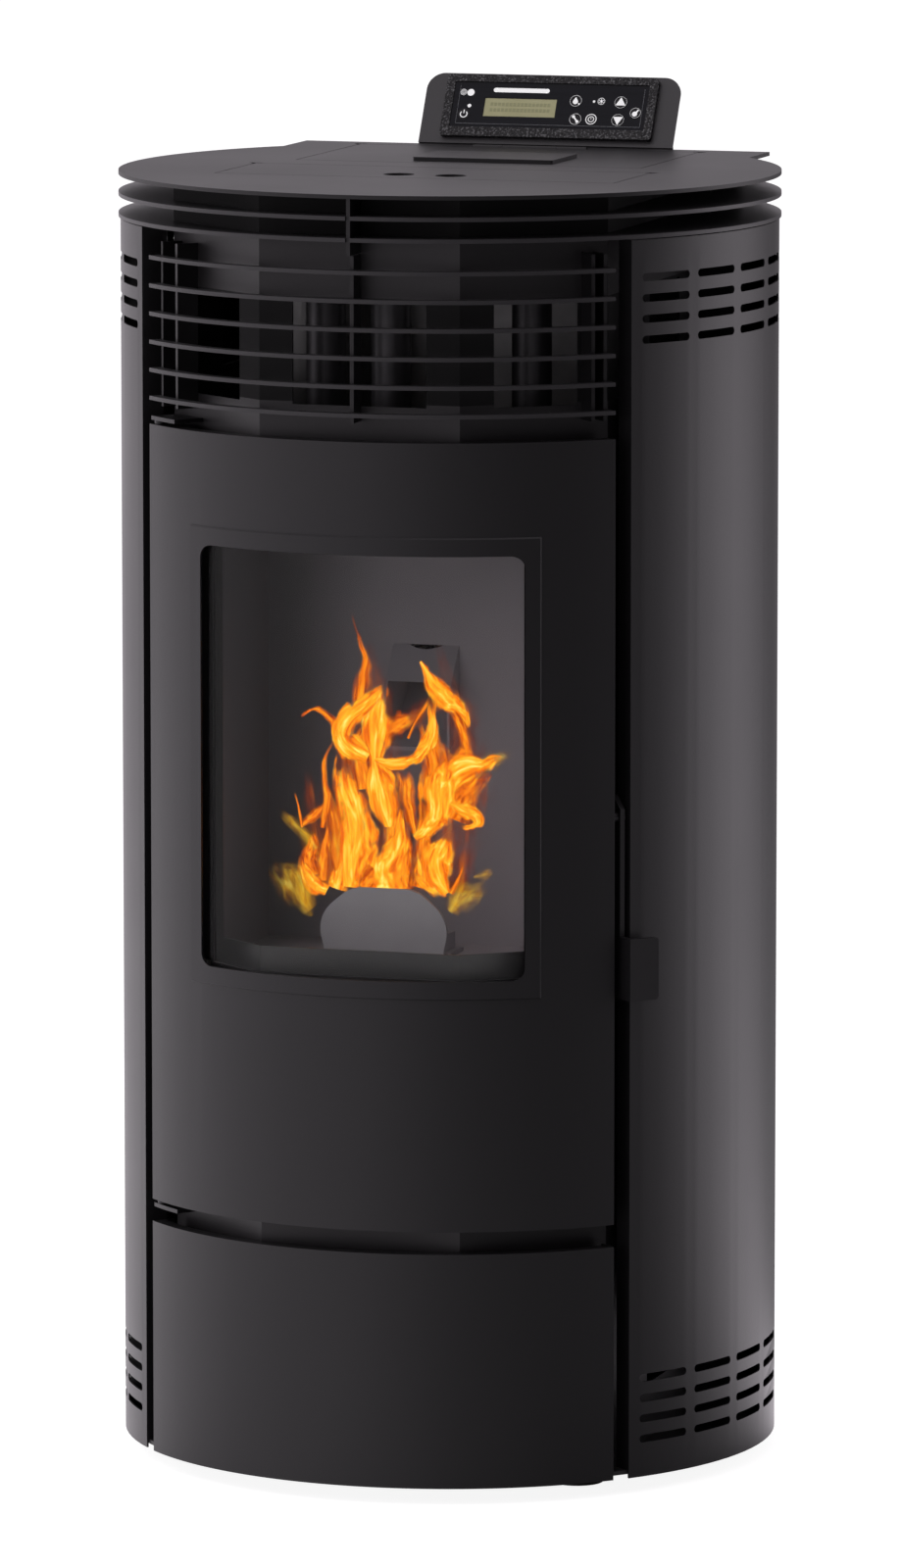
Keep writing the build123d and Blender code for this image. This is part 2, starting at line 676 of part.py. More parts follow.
def rear_panel():
    half_w = REAR_HALF_W - CLAD_SHEET - SEAT
    panel = box(-half_w, half_w, REAR_PANEL_Y, REAR_PANEL_Y + CLAD_SHEET, CLAD_BOTTOM + BASE_LIFT, SIDE_TOP)
    y0, y1 = REAR_PANEL_Y - 1, REAR_PANEL_Y + CLAD_SHEET + 1
    panel -= rod_y(FLUE_X, FLUE_Z, FLUE_R + SEAT, y0, y1)
    panel -= rod_y(AIR_X, AIR_Z, AIR_R + SEAT, y0, y1)
    panel -= box(INLET_X - INLET_W / 2 - SEAT, INLET_X + INLET_W / 2 + SEAT, y0, y1,
                 INLET_Z - INLET_H / 2 - SEAT, INLET_Z + INLET_H / 2 + SEAT)
    for x, z in screw_places():
        panel -= rod_y(x, z, SCREW_R + SCREW_HOLE_PLAY, y0, y1)
    for row in range(LOUVRE_ROWS):
        z = SIDE_TOP - 90 - row * LOUVRE_PITCH
        for x in (-90, 0, 90):
            plane = Plane(origin=(x, y0, z), x_dir=(1, 0, 0), z_dir=(0, 1, 0))
            panel -= extrude(plane * SlotOverall(LOUVRE_W, LOUVRE_H), y1 - y0)
    return panel


def frame_screws():
    screws = []
    for x, z in screw_places():
        head = rod_y(x, z, SCREW_HEAD_R, REAR_Y, REAR_Y + SCREW_HEAD_T)
        y0, y1 = REAR_Y + SCREW_HEAD_T / 2, REAR_Y + 2 * SCREW_HEAD_T
        head -= box(x - SCREW_SLOT, x + SCREW_SLOT, y0, y1, z - 4 * SCREW_SLOT, z + 4 * SCREW_SLOT)
        head -= box(x - 4 * SCREW_SLOT, x + 4 * SCREW_SLOT, y0, y1, z - SCREW_SLOT, z + SCREW_SLOT)
        screws.append(head + rod_y(x, z, SCREW_R, REAR_PANEL_Y - SCREW_R, y0))
    return group(screws)


def lower_front_panel():
    inner_r = CLAD_R - CLAD_SHEET
    panel = sector(inner_r, CLAD_R, -DOOR_HALF, DOOR_HALF, CLAD_BOTTOM, LOWER_TOP)
    sheet_angle = degrees(CLAD_SHEET / CLAD_R)
    for side in (-1, 1):
        a0, a1 = sorted((side * (DOOR_HALF - sheet_angle), side * DOOR_HALF))
        panel += sector(CLAD_R - PANEL_RETURN, inner_r + 0.5, a0, a1, BASE_Z1, LOWER_TOP)
        b0, b1 = sorted((side * DOOR_HALF, side * (DOOR_HALF + 1.5 * sheet_angle)))
        panel += sector(FACET_Y + 8, CLAD_R - 4, b0, b1, 65, 157)
    return panel + sector(FACET_Y + 16.5, inner_r + 0.5, -DOOR_HALF, DOOR_HALF,
                          LOWER_TOP - CLAD_SHEET, LOWER_TOP)


# ================================================================ fire door
def hinge_place():
    x, y, _ = polar(HINGE_R, HINGE_ANGLE)
    return x, y


def door_skin():
    skin = sector(SKIN_IN, CLAD_R, -DOOR_HALF, DOOR_HALF, DOOR_Z0, DOOR_Z1)
    skin -= rounded_window(WIN_HALF, WIN_Z0, WIN_Z1, WIN_CORNER, -FACET_HALF, -2 * CLAD_R)
    edge = degrees(DOOR_SKIN / CLAD_R)
    for side in (-1, 1):
        a0, a1 = sorted((side * (DOOR_HALF - edge), side * DOOR_HALF))
        skin += sector(SKIN_IN - DOOR_FLANGE - 2, SKIN_IN + 0.5, a0, a1, DOOR_Z0, DOOR_Z1)
    x, y = hinge_place()
    for z0 in (DOOR_Z0, DOOR_Z1 - DOOR_SKIN):
        z1 = z0 + DOOR_SKIN
        skin += sector(SKIN_IN - DOOR_FLANGE, SKIN_IN + 0.5, -DOOR_HALF, DOOR_HALF, z0, z1)
        skin += sector(HINGE_EAR_R, SKIN_IN + 0.5, -DOOR_HALF, HINGE_TAB_END, z0, z1)
        skin -= rod_z(x, y, HINGE_PIN_R + SHAFT_PLAY, z0, z1)
    return skin - pivot_rod(PIVOT_PIN_R, 0, PIVOT_REACH)


def pivot_rod(radius, w0, w1):
    """Bar along the lever's pivot line; w grows from the side panel towards the door."""
    plane = radial_plane(LEVER_ANGLE)
    return extrude(plane.offset(w0) * (Pos(PIVOT_R, PIVOT_Z) * Circle(radius)), w1 - w0)


def window_trim():
    half = degrees(asin((WIN_HALF + TRIM_SIDE) / CLAD_R))
    trim = sector(CLAD_R, CLAD_R + TRIM_T, -half, half, WIN_Z0 - TRIM_END, WIN_Z1 + TRIM_END)
    front = trim.faces().sort_by(SortBy.AREA)[-1]
    trim = chamfer(front.edges(), TRIM_BEVEL)
    return trim - rounded_window(WIN_HALF, WIN_Z0, WIN_Z1, WIN_CORNER, -FACET_HALF, -2 * CLAD_R)


def glass_sheet(r0, r1, lap):
    half = degrees(asin((WIN_HALF + lap) / SKIN_IN))
    return sector(r0, r1, -half, half, WIN_Z0 - 2 * lap, WIN_Z1 + 2 * lap)


def window_glass():
    return glass_sheet(GLASS_R0, GLASS_R1, GLASS_LAP)


def door_seals():
    tape = glass_sheet(GLASS_R1 + 0.1, SKIN_IN - 0.1, GLASS_LAP)
    tape -= rounded_window(WIN_HALF + 1, WIN_Z0 - 1, WIN_Z1 + 1, WIN_CORNER, -FACET_HALF, -2 * CLAD_R)
    rope = facet_band(SEAT, SEAT + SEAL_T, SEAL_HALF_W, MOUTH_Z0 - SEAL_BELOW - SEAL_W,
                      MOUTH_Z1 + SEAL_ABOVE + SEAL_W)
    rope -= box(-SEAL_HALF_W + SEAL_W, SEAL_HALF_W - SEAL_W, -CLAD_R, 0, MOUTH_Z0 - SEAL_BELOW, MOUTH_Z1 + SEAL_ABOVE)
    return group([tape, rope])


def tray_levels():
    return MOUTH_Z0 - SEAL_BELOW - TRAY_MARGIN_Z, MOUTH_Z1 + SEAL_ABOVE + TRAY_MARGIN_Z


def door_frame():
    z0, z1 = tray_levels()
    back = facet_band(TRAY_IN, TRAY_OUT, TRAY_HALF_W, z0, z1)
    back -= box(-SEAL_HALF_W + SEAL_W, SEAL_HALF_W - SEAL_W, -CLAD_R, 0, MOUTH_Z0 - SEAL_BELOW, MOUTH_Z1 + SEAL_ABOVE)
    rim = rod_z(0, 0, SKIN_IN - SEAT, z0, z1) & box(-TRAY_HALF_W, TRAY_HALF_W, -CLAD_R, -FACET_HALF, z0, z1)
    rim -= behind_facets(TRAY_IN + 1, CLAD_R, 0, z0, z1)
    inside = TRAY_HALF_W - TRAY_T
    return back + (rim - box(-inside, inside, -CLAD_R, -FACET_HALF, z0 + TRAY_T, z1 - TRAY_T))


def glass_clips():
    clips = []
    x1 = TRAY_HALF_W - TRAY_T - 2
    for x0, x1 in ((-x1, CLIP_W - x1), (x1 - CLIP_W, x1)):
        for z0 in (WIN_Z0 - 10, WIN_Z1 - 4):
            z1 = z0 + CLIP_W
            clip = rod_z(0, 0, GLASS_R0 - SEAT, z0, z1) & box(x0, x1, -CLAD_R, -CLAD_R / 2, z0, z1)
            clips.append(clip - behind_facets(TRAY_OUT, CLAD_R, 0, z0, z1))
    return group(clips)


def hinge_brackets():
    x, y = hinge_place()
    brackets = []
    for side, edge in ((1, DOOR_Z1), (-1, DOOR_Z0)):
        z0, z1 = sorted((edge + side * DOOR_TAB_GAP, edge + side * (DOOR_TAB_GAP + HINGE_TAB_T)))
        tab = sector(FACET_HALF, CLAD_R - CLAD_SHEET, -DOOR_HALF, HINGE_TAB_END, z0, z1)
        tab -= behind_facets(0, CLAD_R, 0, z0, z1)
        washer = sorted((edge + side * SEAT, edge + side * (DOOR_TAB_GAP + HINGE_TAB_T / 2)))
        pin = sorted((edge - side * HINGE_PIN_REACH, edge + side * (DOOR_TAB_GAP + HINGE_TAB_T / 2)))
        brackets.append(tab + rod_z(x, y, HINGE_WASHER_R, *washer) + rod_z(x, y, HINGE_PIN_R, *pin))
    return group(brackets)


# ================================================================ door handle
def handle_lever():
    plane = radial_plane(LEVER_ANGLE)
    outline = [(LEVER_R0, GRIP_Z0), (GRIP_R, GRIP_Z0), (GRIP_R, GRIP_Z1), (LEVER_R1, GRIP_Z1),
               (LEVER_R1, LEVER_TOP - LEVER_CHAMFER), (LEVER_R1 - LEVER_CHAMFER, LEVER_TOP),
               (LEVER_R0, LEVER_TOP)]
    lever = extrude(plane * Polygon(*outline, align=None), LEVER_T / 2, both=True)
    face = Plane(origin=polar(GRIP_R - LEVER_T, LEVER_ANGLE, (GRIP_Z0 + GRIP_Z1) / 2),
                 x_dir=-plane.z_dir, z_dir=plane.x_dir)
    height = GRIP_Z1 - GRIP_Z0
    rounded = Pos(GRIP_W / 2, 0) * RectangleRounded(GRIP_W, height, GRIP_CORNER)
    square = Pos(GRIP_W / 4, 0) * Rectangle(GRIP_W / 2, height)
    wing = extrude(face * rounded, LEVER_T) + extrude(face * square, LEVER_T)
    return lever + wing - pivot_rod(PIVOT_PIN_R + SHAFT_PLAY, -LEVER_T, LEVER_T)


def handle_pin():
    """Pivot pin riveted through the door's edge flange, with a head outside the lever."""
    pin = pivot_rod(PIVOT_PIN_R, -LEVER_T / 2 - 0.5, PIVOT_REACH)
    head = pivot_rod(PIVOT_PIN_R + 1.5, -LEVER_T / 2 - 1.6, -LEVER_T / 2 - SEAT)
    collar = pivot_rod(PIVOT_PIN_R + 1.5, LEVER_T / 2 + SEAT, PIVOT_COLLAR)
    return pin + head + collar


def door_catch():
    """Roller on the frame, right behind the lever's inner edge."""
    z0, z1 = CATCH_Z - 9, CATCH_Z + 9
    roller_r = LEVER_R0 - CATCH_PLAY - CATCH_ROLLER_R
    x, y, _ = polar(roller_r, LEVER_ANGLE)
    block = sector(FACET_HALF, roller_r + 1, LEVER_ANGLE - 0.9, LEVER_ANGLE + 0.9, z0, z1)
    block -= sector(roller_r - 4, roller_r + 2, LEVER_ANGLE - 1, LEVER_ANGLE + 1, z0 + 3, z1 - 3)
    block -= behind_facets(0, FRAME_HALF_W, WALL_REAR, z0, z1)
    return block + rod_z(x, y, CATCH_ROLLER_R, z0, z1)


# ================================================================ fire chamber
def firebox():
    z0, z1 = FIREBOX_Z0, FIREBOX_Z1
    shell = behind_facets(-FRAME_SHEET, FIREBOX_HALF_W, BACK_OUT, z0, z1)
    inside = FIREBOX_HALF_W - FIREBOX_WALL
    shell -= behind_facets(20, inside, FIREBOX_BACK, z0 + FIREBOX_WALL, GRATE_Z - FIREBOX_WALL)
    shell -= behind_facets(20, inside, FIREBOX_BACK, GRATE_Z, z1 - FIREBOX_WALL)
    shell -= box(-POT_HALF_W - POT_PLAY, POT_HALF_W + POT_PLAY, POT_FRONT_Y - POT_PLAY,
                 POT_BACK_Y + POT_PLAY, GRATE_Z - 20, GRATE_Z + 1)
    for x, y in tube_places():
        shell -= rod_z(x, y, TUBE_R - TUBE_WALL, z1 - 20, z1)
    shell -= rod_y(0, IGNITER_Z, IGNITER_R + 0.4, FIREBOX_BACK - 1, BACK_OUT + 1)
    shell -= rod_y(AIR_X, AIR_Z, AIR_R - AIR_WALL, FIREBOX_BACK - 1, BACK_OUT + 1)
    return shell - chute_block(SEAT)


def tube_places():
    inner = [(x * TUBE_STEP, TUBE_Y) for x in (-1, 0, 1)]
    return inner + [(x * 2 * TUBE_STEP, TUBE_OUTER_Y) for x in (-1, 1)]


def exchanger_tubes():
    tubes = []
    for x, y in tube_places():
        tube = rod_z(x, y, TUBE_R, FIREBOX_Z1, SMOKE_Z0)
        tubes.append(tube - rod_z(x, y, TUBE_R - TUBE_WALL, FIREBOX_Z1, SMOKE_Z0))
    return group(tubes)


def smoke_duct():
    """Smoke box over the exchanger tubes, and the duct from it down to the smoke fan."""
    s = SMOKE_SHEET
    half = FIREBOX_HALF_W
    front = -FRAME_SHEET - SMOKE_FRONT_GAP
    shell = behind_facets(front, half, SMOKE_BACK, SMOKE_Z0, SMOKE_Z1)
    shell += box(DUCT_X0, DUCT_X1, BACK_OUT, SMOKE_BACK, DUCT_Z0, SMOKE_Z0 + 1)
    shell += box(DUCT_X0, DUCT_X1, SMOKE_BACK - 1, FAN_Y0, DUCT_Z0, DUCT_TURN_Z)
    shell -= behind_facets(front - s, half - s, SMOKE_BACK - s, SMOKE_Z0 + s, SMOKE_Z1 - s)
    shell -= box(DUCT_X0 + s, DUCT_X1 - s, BACK_OUT + s, SMOKE_BACK - s, DUCT_Z0 + s, SMOKE_Z0 + 2 * s)
    shell -= box(DUCT_X0 + s, DUCT_X1 - s, SMOKE_BACK - 3 * s, FAN_Y0 - s, DUCT_Z0 + s, DUCT_TURN_Z - s)
    shell -= rod_y(FAN_X, FAN_Z, FLUE_R - 15, FAN_Y0 - 2 * s, FAN_Y0)
    for x, y in tube_places():
        shell -= rod_z(x, y, TUBE_R - TUBE_WALL, SMOKE_Z0, SMOKE_Z0 + s)
    return shell


# ================================================================ burn pot, igniter, ash drawer
def burn_pot():
    pot = box(-POT_HALF_W, POT_HALF_W, POT_FRONT_Y, POT_BACK_Y, POT_Z0, POT_Z1)
    w = POT_WALL
    pot -= box(-POT_HALF_W + w, POT_HALF_W - w, POT_FRONT_Y + w, POT_BACK_Y - w, POT_Z0 + w, POT_Z1)
    rim_z = GRATE_Z + RUNNER_PLAY
    rim = box(-POT_HALF_W - POT_RIM, POT_HALF_W + POT_RIM, POT_FRONT_Y, POT_BACK_Y + POT_RIM,
              rim_z, rim_z + POT_WALL)
    pot += rim - box(-POT_HALF_W + 1, POT_HALF_W - 1, POT_FRONT_Y + 1, POT_BACK_Y - 1, rim_z, rim_z + POT_WALL)
    pot -= rod_y(0, IGNITER_Z, IGNITER_R - 1, POT_BACK_Y - 2 * w, POT_BACK_Y)
    for x in range(-2, 3):
        for y in range(-2, 3):
            hole = rod_z(x * 11, (POT_FRONT_Y + POT_BACK_Y) / 2 + y * 10, 2.0, POT_Z0, POT_Z0 + w)
            pot -= hole
    plane = Plane(origin=(0, POT_FRONT_Y, 0), x_dir=(1, 0, 0), z_dir=(0, -1, 0))
    outline = [(-SHIELD_HALF_LOW, rim_z), (SHIELD_HALF_LOW, rim_z), (SHIELD_HALF_MID, SHIELD_MID),
               (SHIELD_HALF_TOP, SHIELD_TOP), (-SHIELD_HALF_TOP, SHIELD_TOP), (-SHIELD_HALF_MID, SHIELD_MID)]
    shield = Polygon(*outline, align=None)
    corners = [v for v in shield.vertices() if v.Y > rim_z + SHIELD_T]
    shield = fillet(corners, SHIELD_CORNER)
    return pot + extrude(plane * shield, SHIELD_T)


def igniter():
    y0 = POT_BACK_Y + POT_PLAY
    rod = rod_y(0, IGNITER_Z, IGNITER_R - 1.5, y0, y0 + IGNITER_LENGTH)
    return rod + rod_y(0, IGNITER_Z, IGNITER_R + 3, BACK_OUT, BACK_OUT + 14)


def ash_drawer():
    z0 = FIREBOX_Z0 + FIREBOX_WALL + RUNNER_PLAY
    w = DRAWER_WALL
    front = drawer_front_y()
    pan = box(-DRAWER_HALF_W, DRAWER_HALF_W, front, DRAWER_BACK_Y, z0, DRAWER_TOP)
    pan -= box(-DRAWER_HALF_W + w, DRAWER_HALF_W - w, front + w, DRAWER_BACK_Y - w, z0 + w, DRAWER_TOP)
    high = DRAWER_PULL_Z + DRAWER_PULL_H
    pull = box(-DRAWER_PULL_HALF, DRAWER_PULL_HALF, front - DRAWER_PULL_OUT, front, DRAWER_PULL_Z, high)
    gap_half = DRAWER_PULL_HALF - DRAWER_PULL_BAR
    gap_out = DRAWER_PULL_OUT - DRAWER_PULL_BAR
    return pan + (pull - box(-gap_half, gap_half, front - gap_out, front, DRAWER_PULL_Z, high))


def drawer_front_y():
    return facet_y(-FRAME_SHEET, DRAWER_HALF_W) + DRAWER_SET_BACK


# ================================================================ pellet feed
def auger_place():
    """Location of the auger: its local z runs down and back from the upper end."""
    t = radians(AUGER_TILT)
    plane = Plane(origin=(0, AUGER_TOP_Y, AUGER_TOP_Z), x_dir=(1, 0, 0), z_dir=(0, cos(t), -sin(t)))
    return plane.location


def auger_bar(radius, s0, s1):
    return auger_place() * (Pos(0, 0, s0) * extrude(Circle(radius), s1 - s0))


def hopper():
    s = HOPPER_SHEET
    top = PLATE_UNDER - LEDGE_T - SEAT

    def body(grow):
        w, y0, y1 = HOPPER_HALF_W + grow, HOPPER_Y0 - grow, HOPPER_Y1 + grow
        upper = box(-w, w, y0, y1, HOPPER_SLOPE_Z, top)
        wide = Pos(0, (y0 + y1) / 2, HOPPER_SLOPE_Z) * Rectangle(2 * w, y1 - y0)
        n0, n1 = SPOUT_Y0 - grow, SPOUT_Y1 + grow
        narrow = Pos(0, (n0 + n1) / 2, SPOUT_Z) * Rectangle(2 * SPOUT_HALF_W + 2 * grow, n1 - n0)
        spout = box(-SPOUT_HALF_W - grow, SPOUT_HALF_W + grow, n0, n1, SPOUT_Z - 100, SPOUT_Z)
        return upper + loft([narrow, wide]) + spout

    flange = box(-HOPPER_HALF_W - HOPPER_FLANGE, HOPPER_HALF_W + HOPPER_FLANGE, HOPPER_Y0 - HOPPER_FLANGE,
                 HOPPER_Y1 + HOPPER_FLANGE, top - s, top)
    shell = body(s) + flange - body(0)
    return shell - auger_bar(AUGER_TUBE_R + SEAT, -CLAD_R, 2 * CLAD_R) - below_auger()


def below_auger():
    """Everything under the auger's centre line."""
    t = radians(AUGER_TILT)
    far = 2 * CLAD_R
    a = (AUGER_TOP_Y - far * cos(t), AUGER_TOP_Z + far * sin(t))
    b = (AUGER_TOP_Y + far * cos(t), AUGER_TOP_Z - far * sin(t))
    return side_prism([a, b, (b[0], b[1] - far), (a[0], b[1] - far)], -CLAD_R, CLAD_R)


def chute_outline(grow):
    """Side view (y, z) of the drop chute, from the auger's mouth to the fire chamber."""
    nose = FIREBOX_BACK - CHUTE_NOSE
    end = AUGER_TOP_Y + 26
    return [(nose, 548 - grow), (nose, 590 + grow), (FIREBOX_BACK, 622 + grow), (end - 22, AUGER_TOP_Z + 40 + grow),
            (end + grow, AUGER_TOP_Z + 26 + grow), (end + grow, AUGER_TOP_Z - 46 - grow), (FIREBOX_BACK, 560 - grow)]


def chute_block(grow):
    half = CHUTE_HALF_W + AUGER_TUBE_WALL + grow
    return side_prism(chute_outline(AUGER_TUBE_WALL + grow), -half, half)


def auger_tube():
    bore = AUGER_TUBE_R - AUGER_TUBE_WALL
    tube = chute_block(0) + auger_bar(AUGER_TUBE_R, 0, AUGER_LENGTH)
    chute_void = side_prism([(y - (2 if y < FIREBOX_BACK - 1 else 0), z) for y, z in chute_outline(0)],
                            -CHUTE_HALF_W, CHUTE_HALF_W)
    tube -= chute_void
    tube -= auger_bar(bore, -6, AUGER_LENGTH)
    inlet = box(-SPOUT_HALF_W + 3, SPOUT_HALF_W - 3, SPOUT_Y0 + 3, SPOUT_Y1 - 3, 0, SPOUT_Z + SPOUT_HALF_W)
    tube -= inlet - below_auger()
    flange = auger_bar(AUGER_TUBE_R + 10, AUGER_LENGTH - 3, AUGER_LENGTH)
    return tube + (flange - auger_bar(bore, AUGER_LENGTH - 4, AUGER_LENGTH))


def auger_bushes():
    bore = AUGER_TUBE_R - AUGER_TUBE_WALL
    bushes = []
    for s0 in (AUGER_LENGTH - AUGER_BUSH_L, AUGER_LENGTH + 1):
        radius = bore - SEAT / 3 if s0 < AUGER_LENGTH else bore - 8
        ring = auger_bar(radius, s0, s0 + AUGER_BUSH_L)
        bushes.append(ring - auger_bar(AUGER_SHAFT_R + SHAFT_PLAY, s0, s0 + AUGER_BUSH_L))
    return group(bushes)


def auger_screw():
    """Shaft with a continuous flight, swept along a helix."""
    length = AUGER_LENGTH - AUGER_BUSH_L - 12
    path = Helix(pitch=AUGER_PITCH, height=length, radius=AUGER_CORE_R - 1)
    wide = AUGER_FLIGHT_R - AUGER_CORE_R + 1
    section = Plane(origin=path @ 0, x_dir=(1, 0, 0), z_dir=path % 0)
    flight = sweep(section * (Pos(wide / 2, 0) * Rectangle(wide, 2.5)), path=path, is_frenet=True)
    core = extrude(Circle(AUGER_CORE_R), length + 4)
    shaft = extrude(Circle(AUGER_SHAFT_R), AUGER_LENGTH + AUGER_BUSH_L + 21)
    return auger_place() * (Pos(0, 0, 2) * (core + flight + shaft))


def auger_motor():
    """Gearbox with its motor, bolted on the tube's lower end."""
    s0 = AUGER_LENGTH + 0.5
    half = AUGER_MOTOR_W / 2
    place = auger_place()
    gearbox = place * (Pos(0, 0, s0 + AUGER_MOTOR_L / 4) * Box(AUGER_MOTOR_W, AUGER_MOTOR_W, AUGER_MOTOR_L / 2))
    motor = auger_bar(half * 0.72, s0 + AUGER_MOTOR_L / 2 - 1, s0 + AUGER_MOTOR_L)
    solid = gearbox + motor
    solid -= auger_bar(AUGER_TUBE_R - AUGER_TUBE_WALL - 8 + SEAT, s0, s0 + AUGER_BUSH_L + 1)
    return solid - auger_bar(AUGER_SHAFT_R + SHAFT_PLAY, s0, s0 + AUGER_BUSH_L + 24)


# ================================================================ smoke fan and flue
def fan_housing():
    s = FAN_SHEET

    def body(grow, y0, y1):
        drum = rod_y(FAN_X, FAN_Z, FAN_R + grow, y0, y1)
        x1 = FLUE_X + FLUE_R + 2 + grow
        return drum + box(FAN_X, x1, y0, y1, FLUE_Z - FLUE_R - 2 - grow, FLUE_Z + FLUE_R + 2 + grow)

    shell = body(s, FAN_Y0, FAN_Y1) + rod_y(FLUE_X, FLUE_Z, FLUE_R - PIPE_STEP, FAN_Y1 - 1, REAR_Y + 1)
    shell += rod_y(FLUE_X, FLUE_Z, FLUE_R, REAR_Y, REACH_Y)
    shell -= body(0, FAN_Y0 + s, FAN_Y1 - s)
    shell -= rod_y(FLUE_X, FLUE_Z, FLUE_R - FLUE_WALL, FAN_Y1 - 2 * s, REACH_Y)
    shell -= rod_y(FAN_X, FAN_Z, FLUE_R - 15, FAN_Y0, FAN_Y0 + s)
    return shell - rod_y(FAN_X, FAN_Z, FAN_SHAFT_R + SHAFT_PLAY, FAN_Y1 - s, FAN_Y1)


def fan_impeller():
    y0, y1 = FAN_Y0 + 10, FAN_Y1 - 8
    wheel = rod_y(FAN_X, FAN_Z, IMPELLER_R, y1 - 2, y1)
    wheel += rod_y(FAN_X, FAN_Z, FAN_SHAFT_R + 6, y0 + 6, y1)
    for i in range(IMPELLER_BLADES):
        blade = box(18, IMPELLER_R - 1, y0, y1 - 1, -1, 1)
        turn = Pos(FAN_X, 0, FAN_Z) * Rot(0, 360 / IMPELLER_BLADES * i, 0)
        wheel += turn * blade
    return wheel + rod_y(FAN_X, FAN_Z, FAN_SHAFT_R, y1 - 1, FAN_Y1 + FAN_MOTOR_L - 12)


def fan_motor():
    motor = rod_y(FAN_X, FAN_Z, FAN_MOTOR_R, FAN_Y1, FAN_Y1 + FAN_MOTOR_L)
    waist = rod_y(FAN_X, FAN_Z, FAN_MOTOR_R, FAN_Y1 + 14, FAN_Y1 + FAN_MOTOR_L - 14)
    waist -= rod_y(FAN_X, FAN_Z, FAN_MOTOR_R - 6, FAN_Y1 + 14, FAN_Y1 + FAN_MOTOR_L - 14)
    lamination = box(FAN_X - 30, FAN_X + 30, FAN_Y1 + 14, FAN_Y1 + FAN_MOTOR_L - 14, FAN_Z - 30, FAN_Z + 30)
    motor = motor - waist + lamination
    return motor - rod_y(FAN_X, FAN_Z, FAN_SHAFT_R + SHAFT_PLAY, FAN_Y1, FAN_Y1 + FAN_MOTOR_L - 11)


def air_intake_pipe():
    pipe = rod_y(AIR_X, AIR_Z, AIR_R - PIPE_STEP, BACK_OUT, REAR_Y + 1)
    pipe += rod_y(AIR_X, AIR_Z, AIR_R, REAR_Y, REAR_Y + AIR_REACH)
    return pipe - rod_y(AIR_X, AIR_Z, AIR_R - AIR_WALL, BACK_OUT, REAR_Y + AIR_REACH)


# ================================================================ room-air blower
def blower_housing():
    s = BLOWER_SHEET
    b = BLOWER_BOX_HALF
    shell = box(-BLOWER_HALF_L, BLOWER_HALF_L, BLOWER_Y - b, BLOWER_Y + b, BASE_Z1, BLOWER_TOP)
    shell -= box(-BLOWER_HALF_L + s, BLOWER_HALF_L - s, BLOWER_Y - b + s, BLOWER_Y + b - s, BASE_Z1, BLOWER_TOP)
    shell += box(-BLOWER_HALF_L, BLOWER_HALF_L, BLOWER_Y - b, BLOWER_Y - 6, BLOWER_TOP - s, BLOWER_TOP)
    return shell - rod_x(BLOWER_Y, BLOWER_Z, BLOWER_SHAFT_R + SHAFT_PLAY, -BLOWER_HALF_L, BLOWER_HALF_L)


def blower_rotor():
    x1 = BLOWER_HALF_L - 8
    rotor = rod_x(BLOWER_Y, BLOWER_Z, BLOWER_SHAFT_R, -BLOWER_HALF_L, BLOWER_HALF_L + BLOWER_MOTOR_L - 8)
    for x in (-x1, -1, x1 - 2):
        rotor += rod_x(BLOWER_Y, BLOWER_Z, ROTOR_R, x, x + 2)
    for i in range(ROTOR_BLADES):
        blade = box(-x1, x1, ROTOR_R - 7, ROTOR_R - 0.5, -0.7, 0.7)
        rotor += Pos(0, BLOWER_Y, BLOWER_Z) * Rot(360 / ROTOR_BLADES * i, 0, 0) * blade
    return rotor


def blower_motor():
    x0 = BLOWER_HALF_L
    motor = rod_x(BLOWER_Y, BLOWER_Z, BLOWER_MOTOR_R, x0, x0 + BLOWER_MOTOR_L)
    foot = box(x0 + 8, x0 + BLOWER_MOTOR_L - 8, BLOWER_Y - 16, BLOWER_Y + 16, BASE_Z1, BLOWER_Z)
    return motor + foot - rod_x(BLOWER_Y, BLOWER_Z, BLOWER_SHAFT_R + SHAFT_PLAY, x0, x0 + BLOWER_MOTOR_L - 7)


# ================================================================ lids
def lid_lip(half_w, y0, y1):
    """Folded edge under a lid, just inside the ledge that carries it."""
    inset = LEDGE_W + LIP_INSET
    z0 = PLATE_UNDER - LIP_DEPTH
    outer = box(-half_w + inset, half_w - inset, y0 + inset, y1 - 2 * LEDGE_W - LIP_INSET, z0, PLATE_UNDER + 1)
    cut = inset + LIP_T
    return outer - box(-half_w + cut, half_w - cut, y0 + cut, y1 - 2 * LEDGE_W - LIP_INSET - LIP_T,
                       z0, PLATE_UNDER + 1)


def cleaning_cover():
    z0 = PLATE_UNDER + LID_SEAT
    cover = box(-COVER_HALF_W, COVER_HALF_W, COVER_Y0, COVER_Y1, z0, TOP_Z)
    cover += lid_lip(COVER_HALF_W, COVER_Y0, COVER_Y1 + LEDGE_W / 2)
    for x in (-FINGER_X, FINGER_X):
        cover -= rod_z(x, FINGER_Y, FINGER_R, z0 - 1, TOP_Z)
    return cover


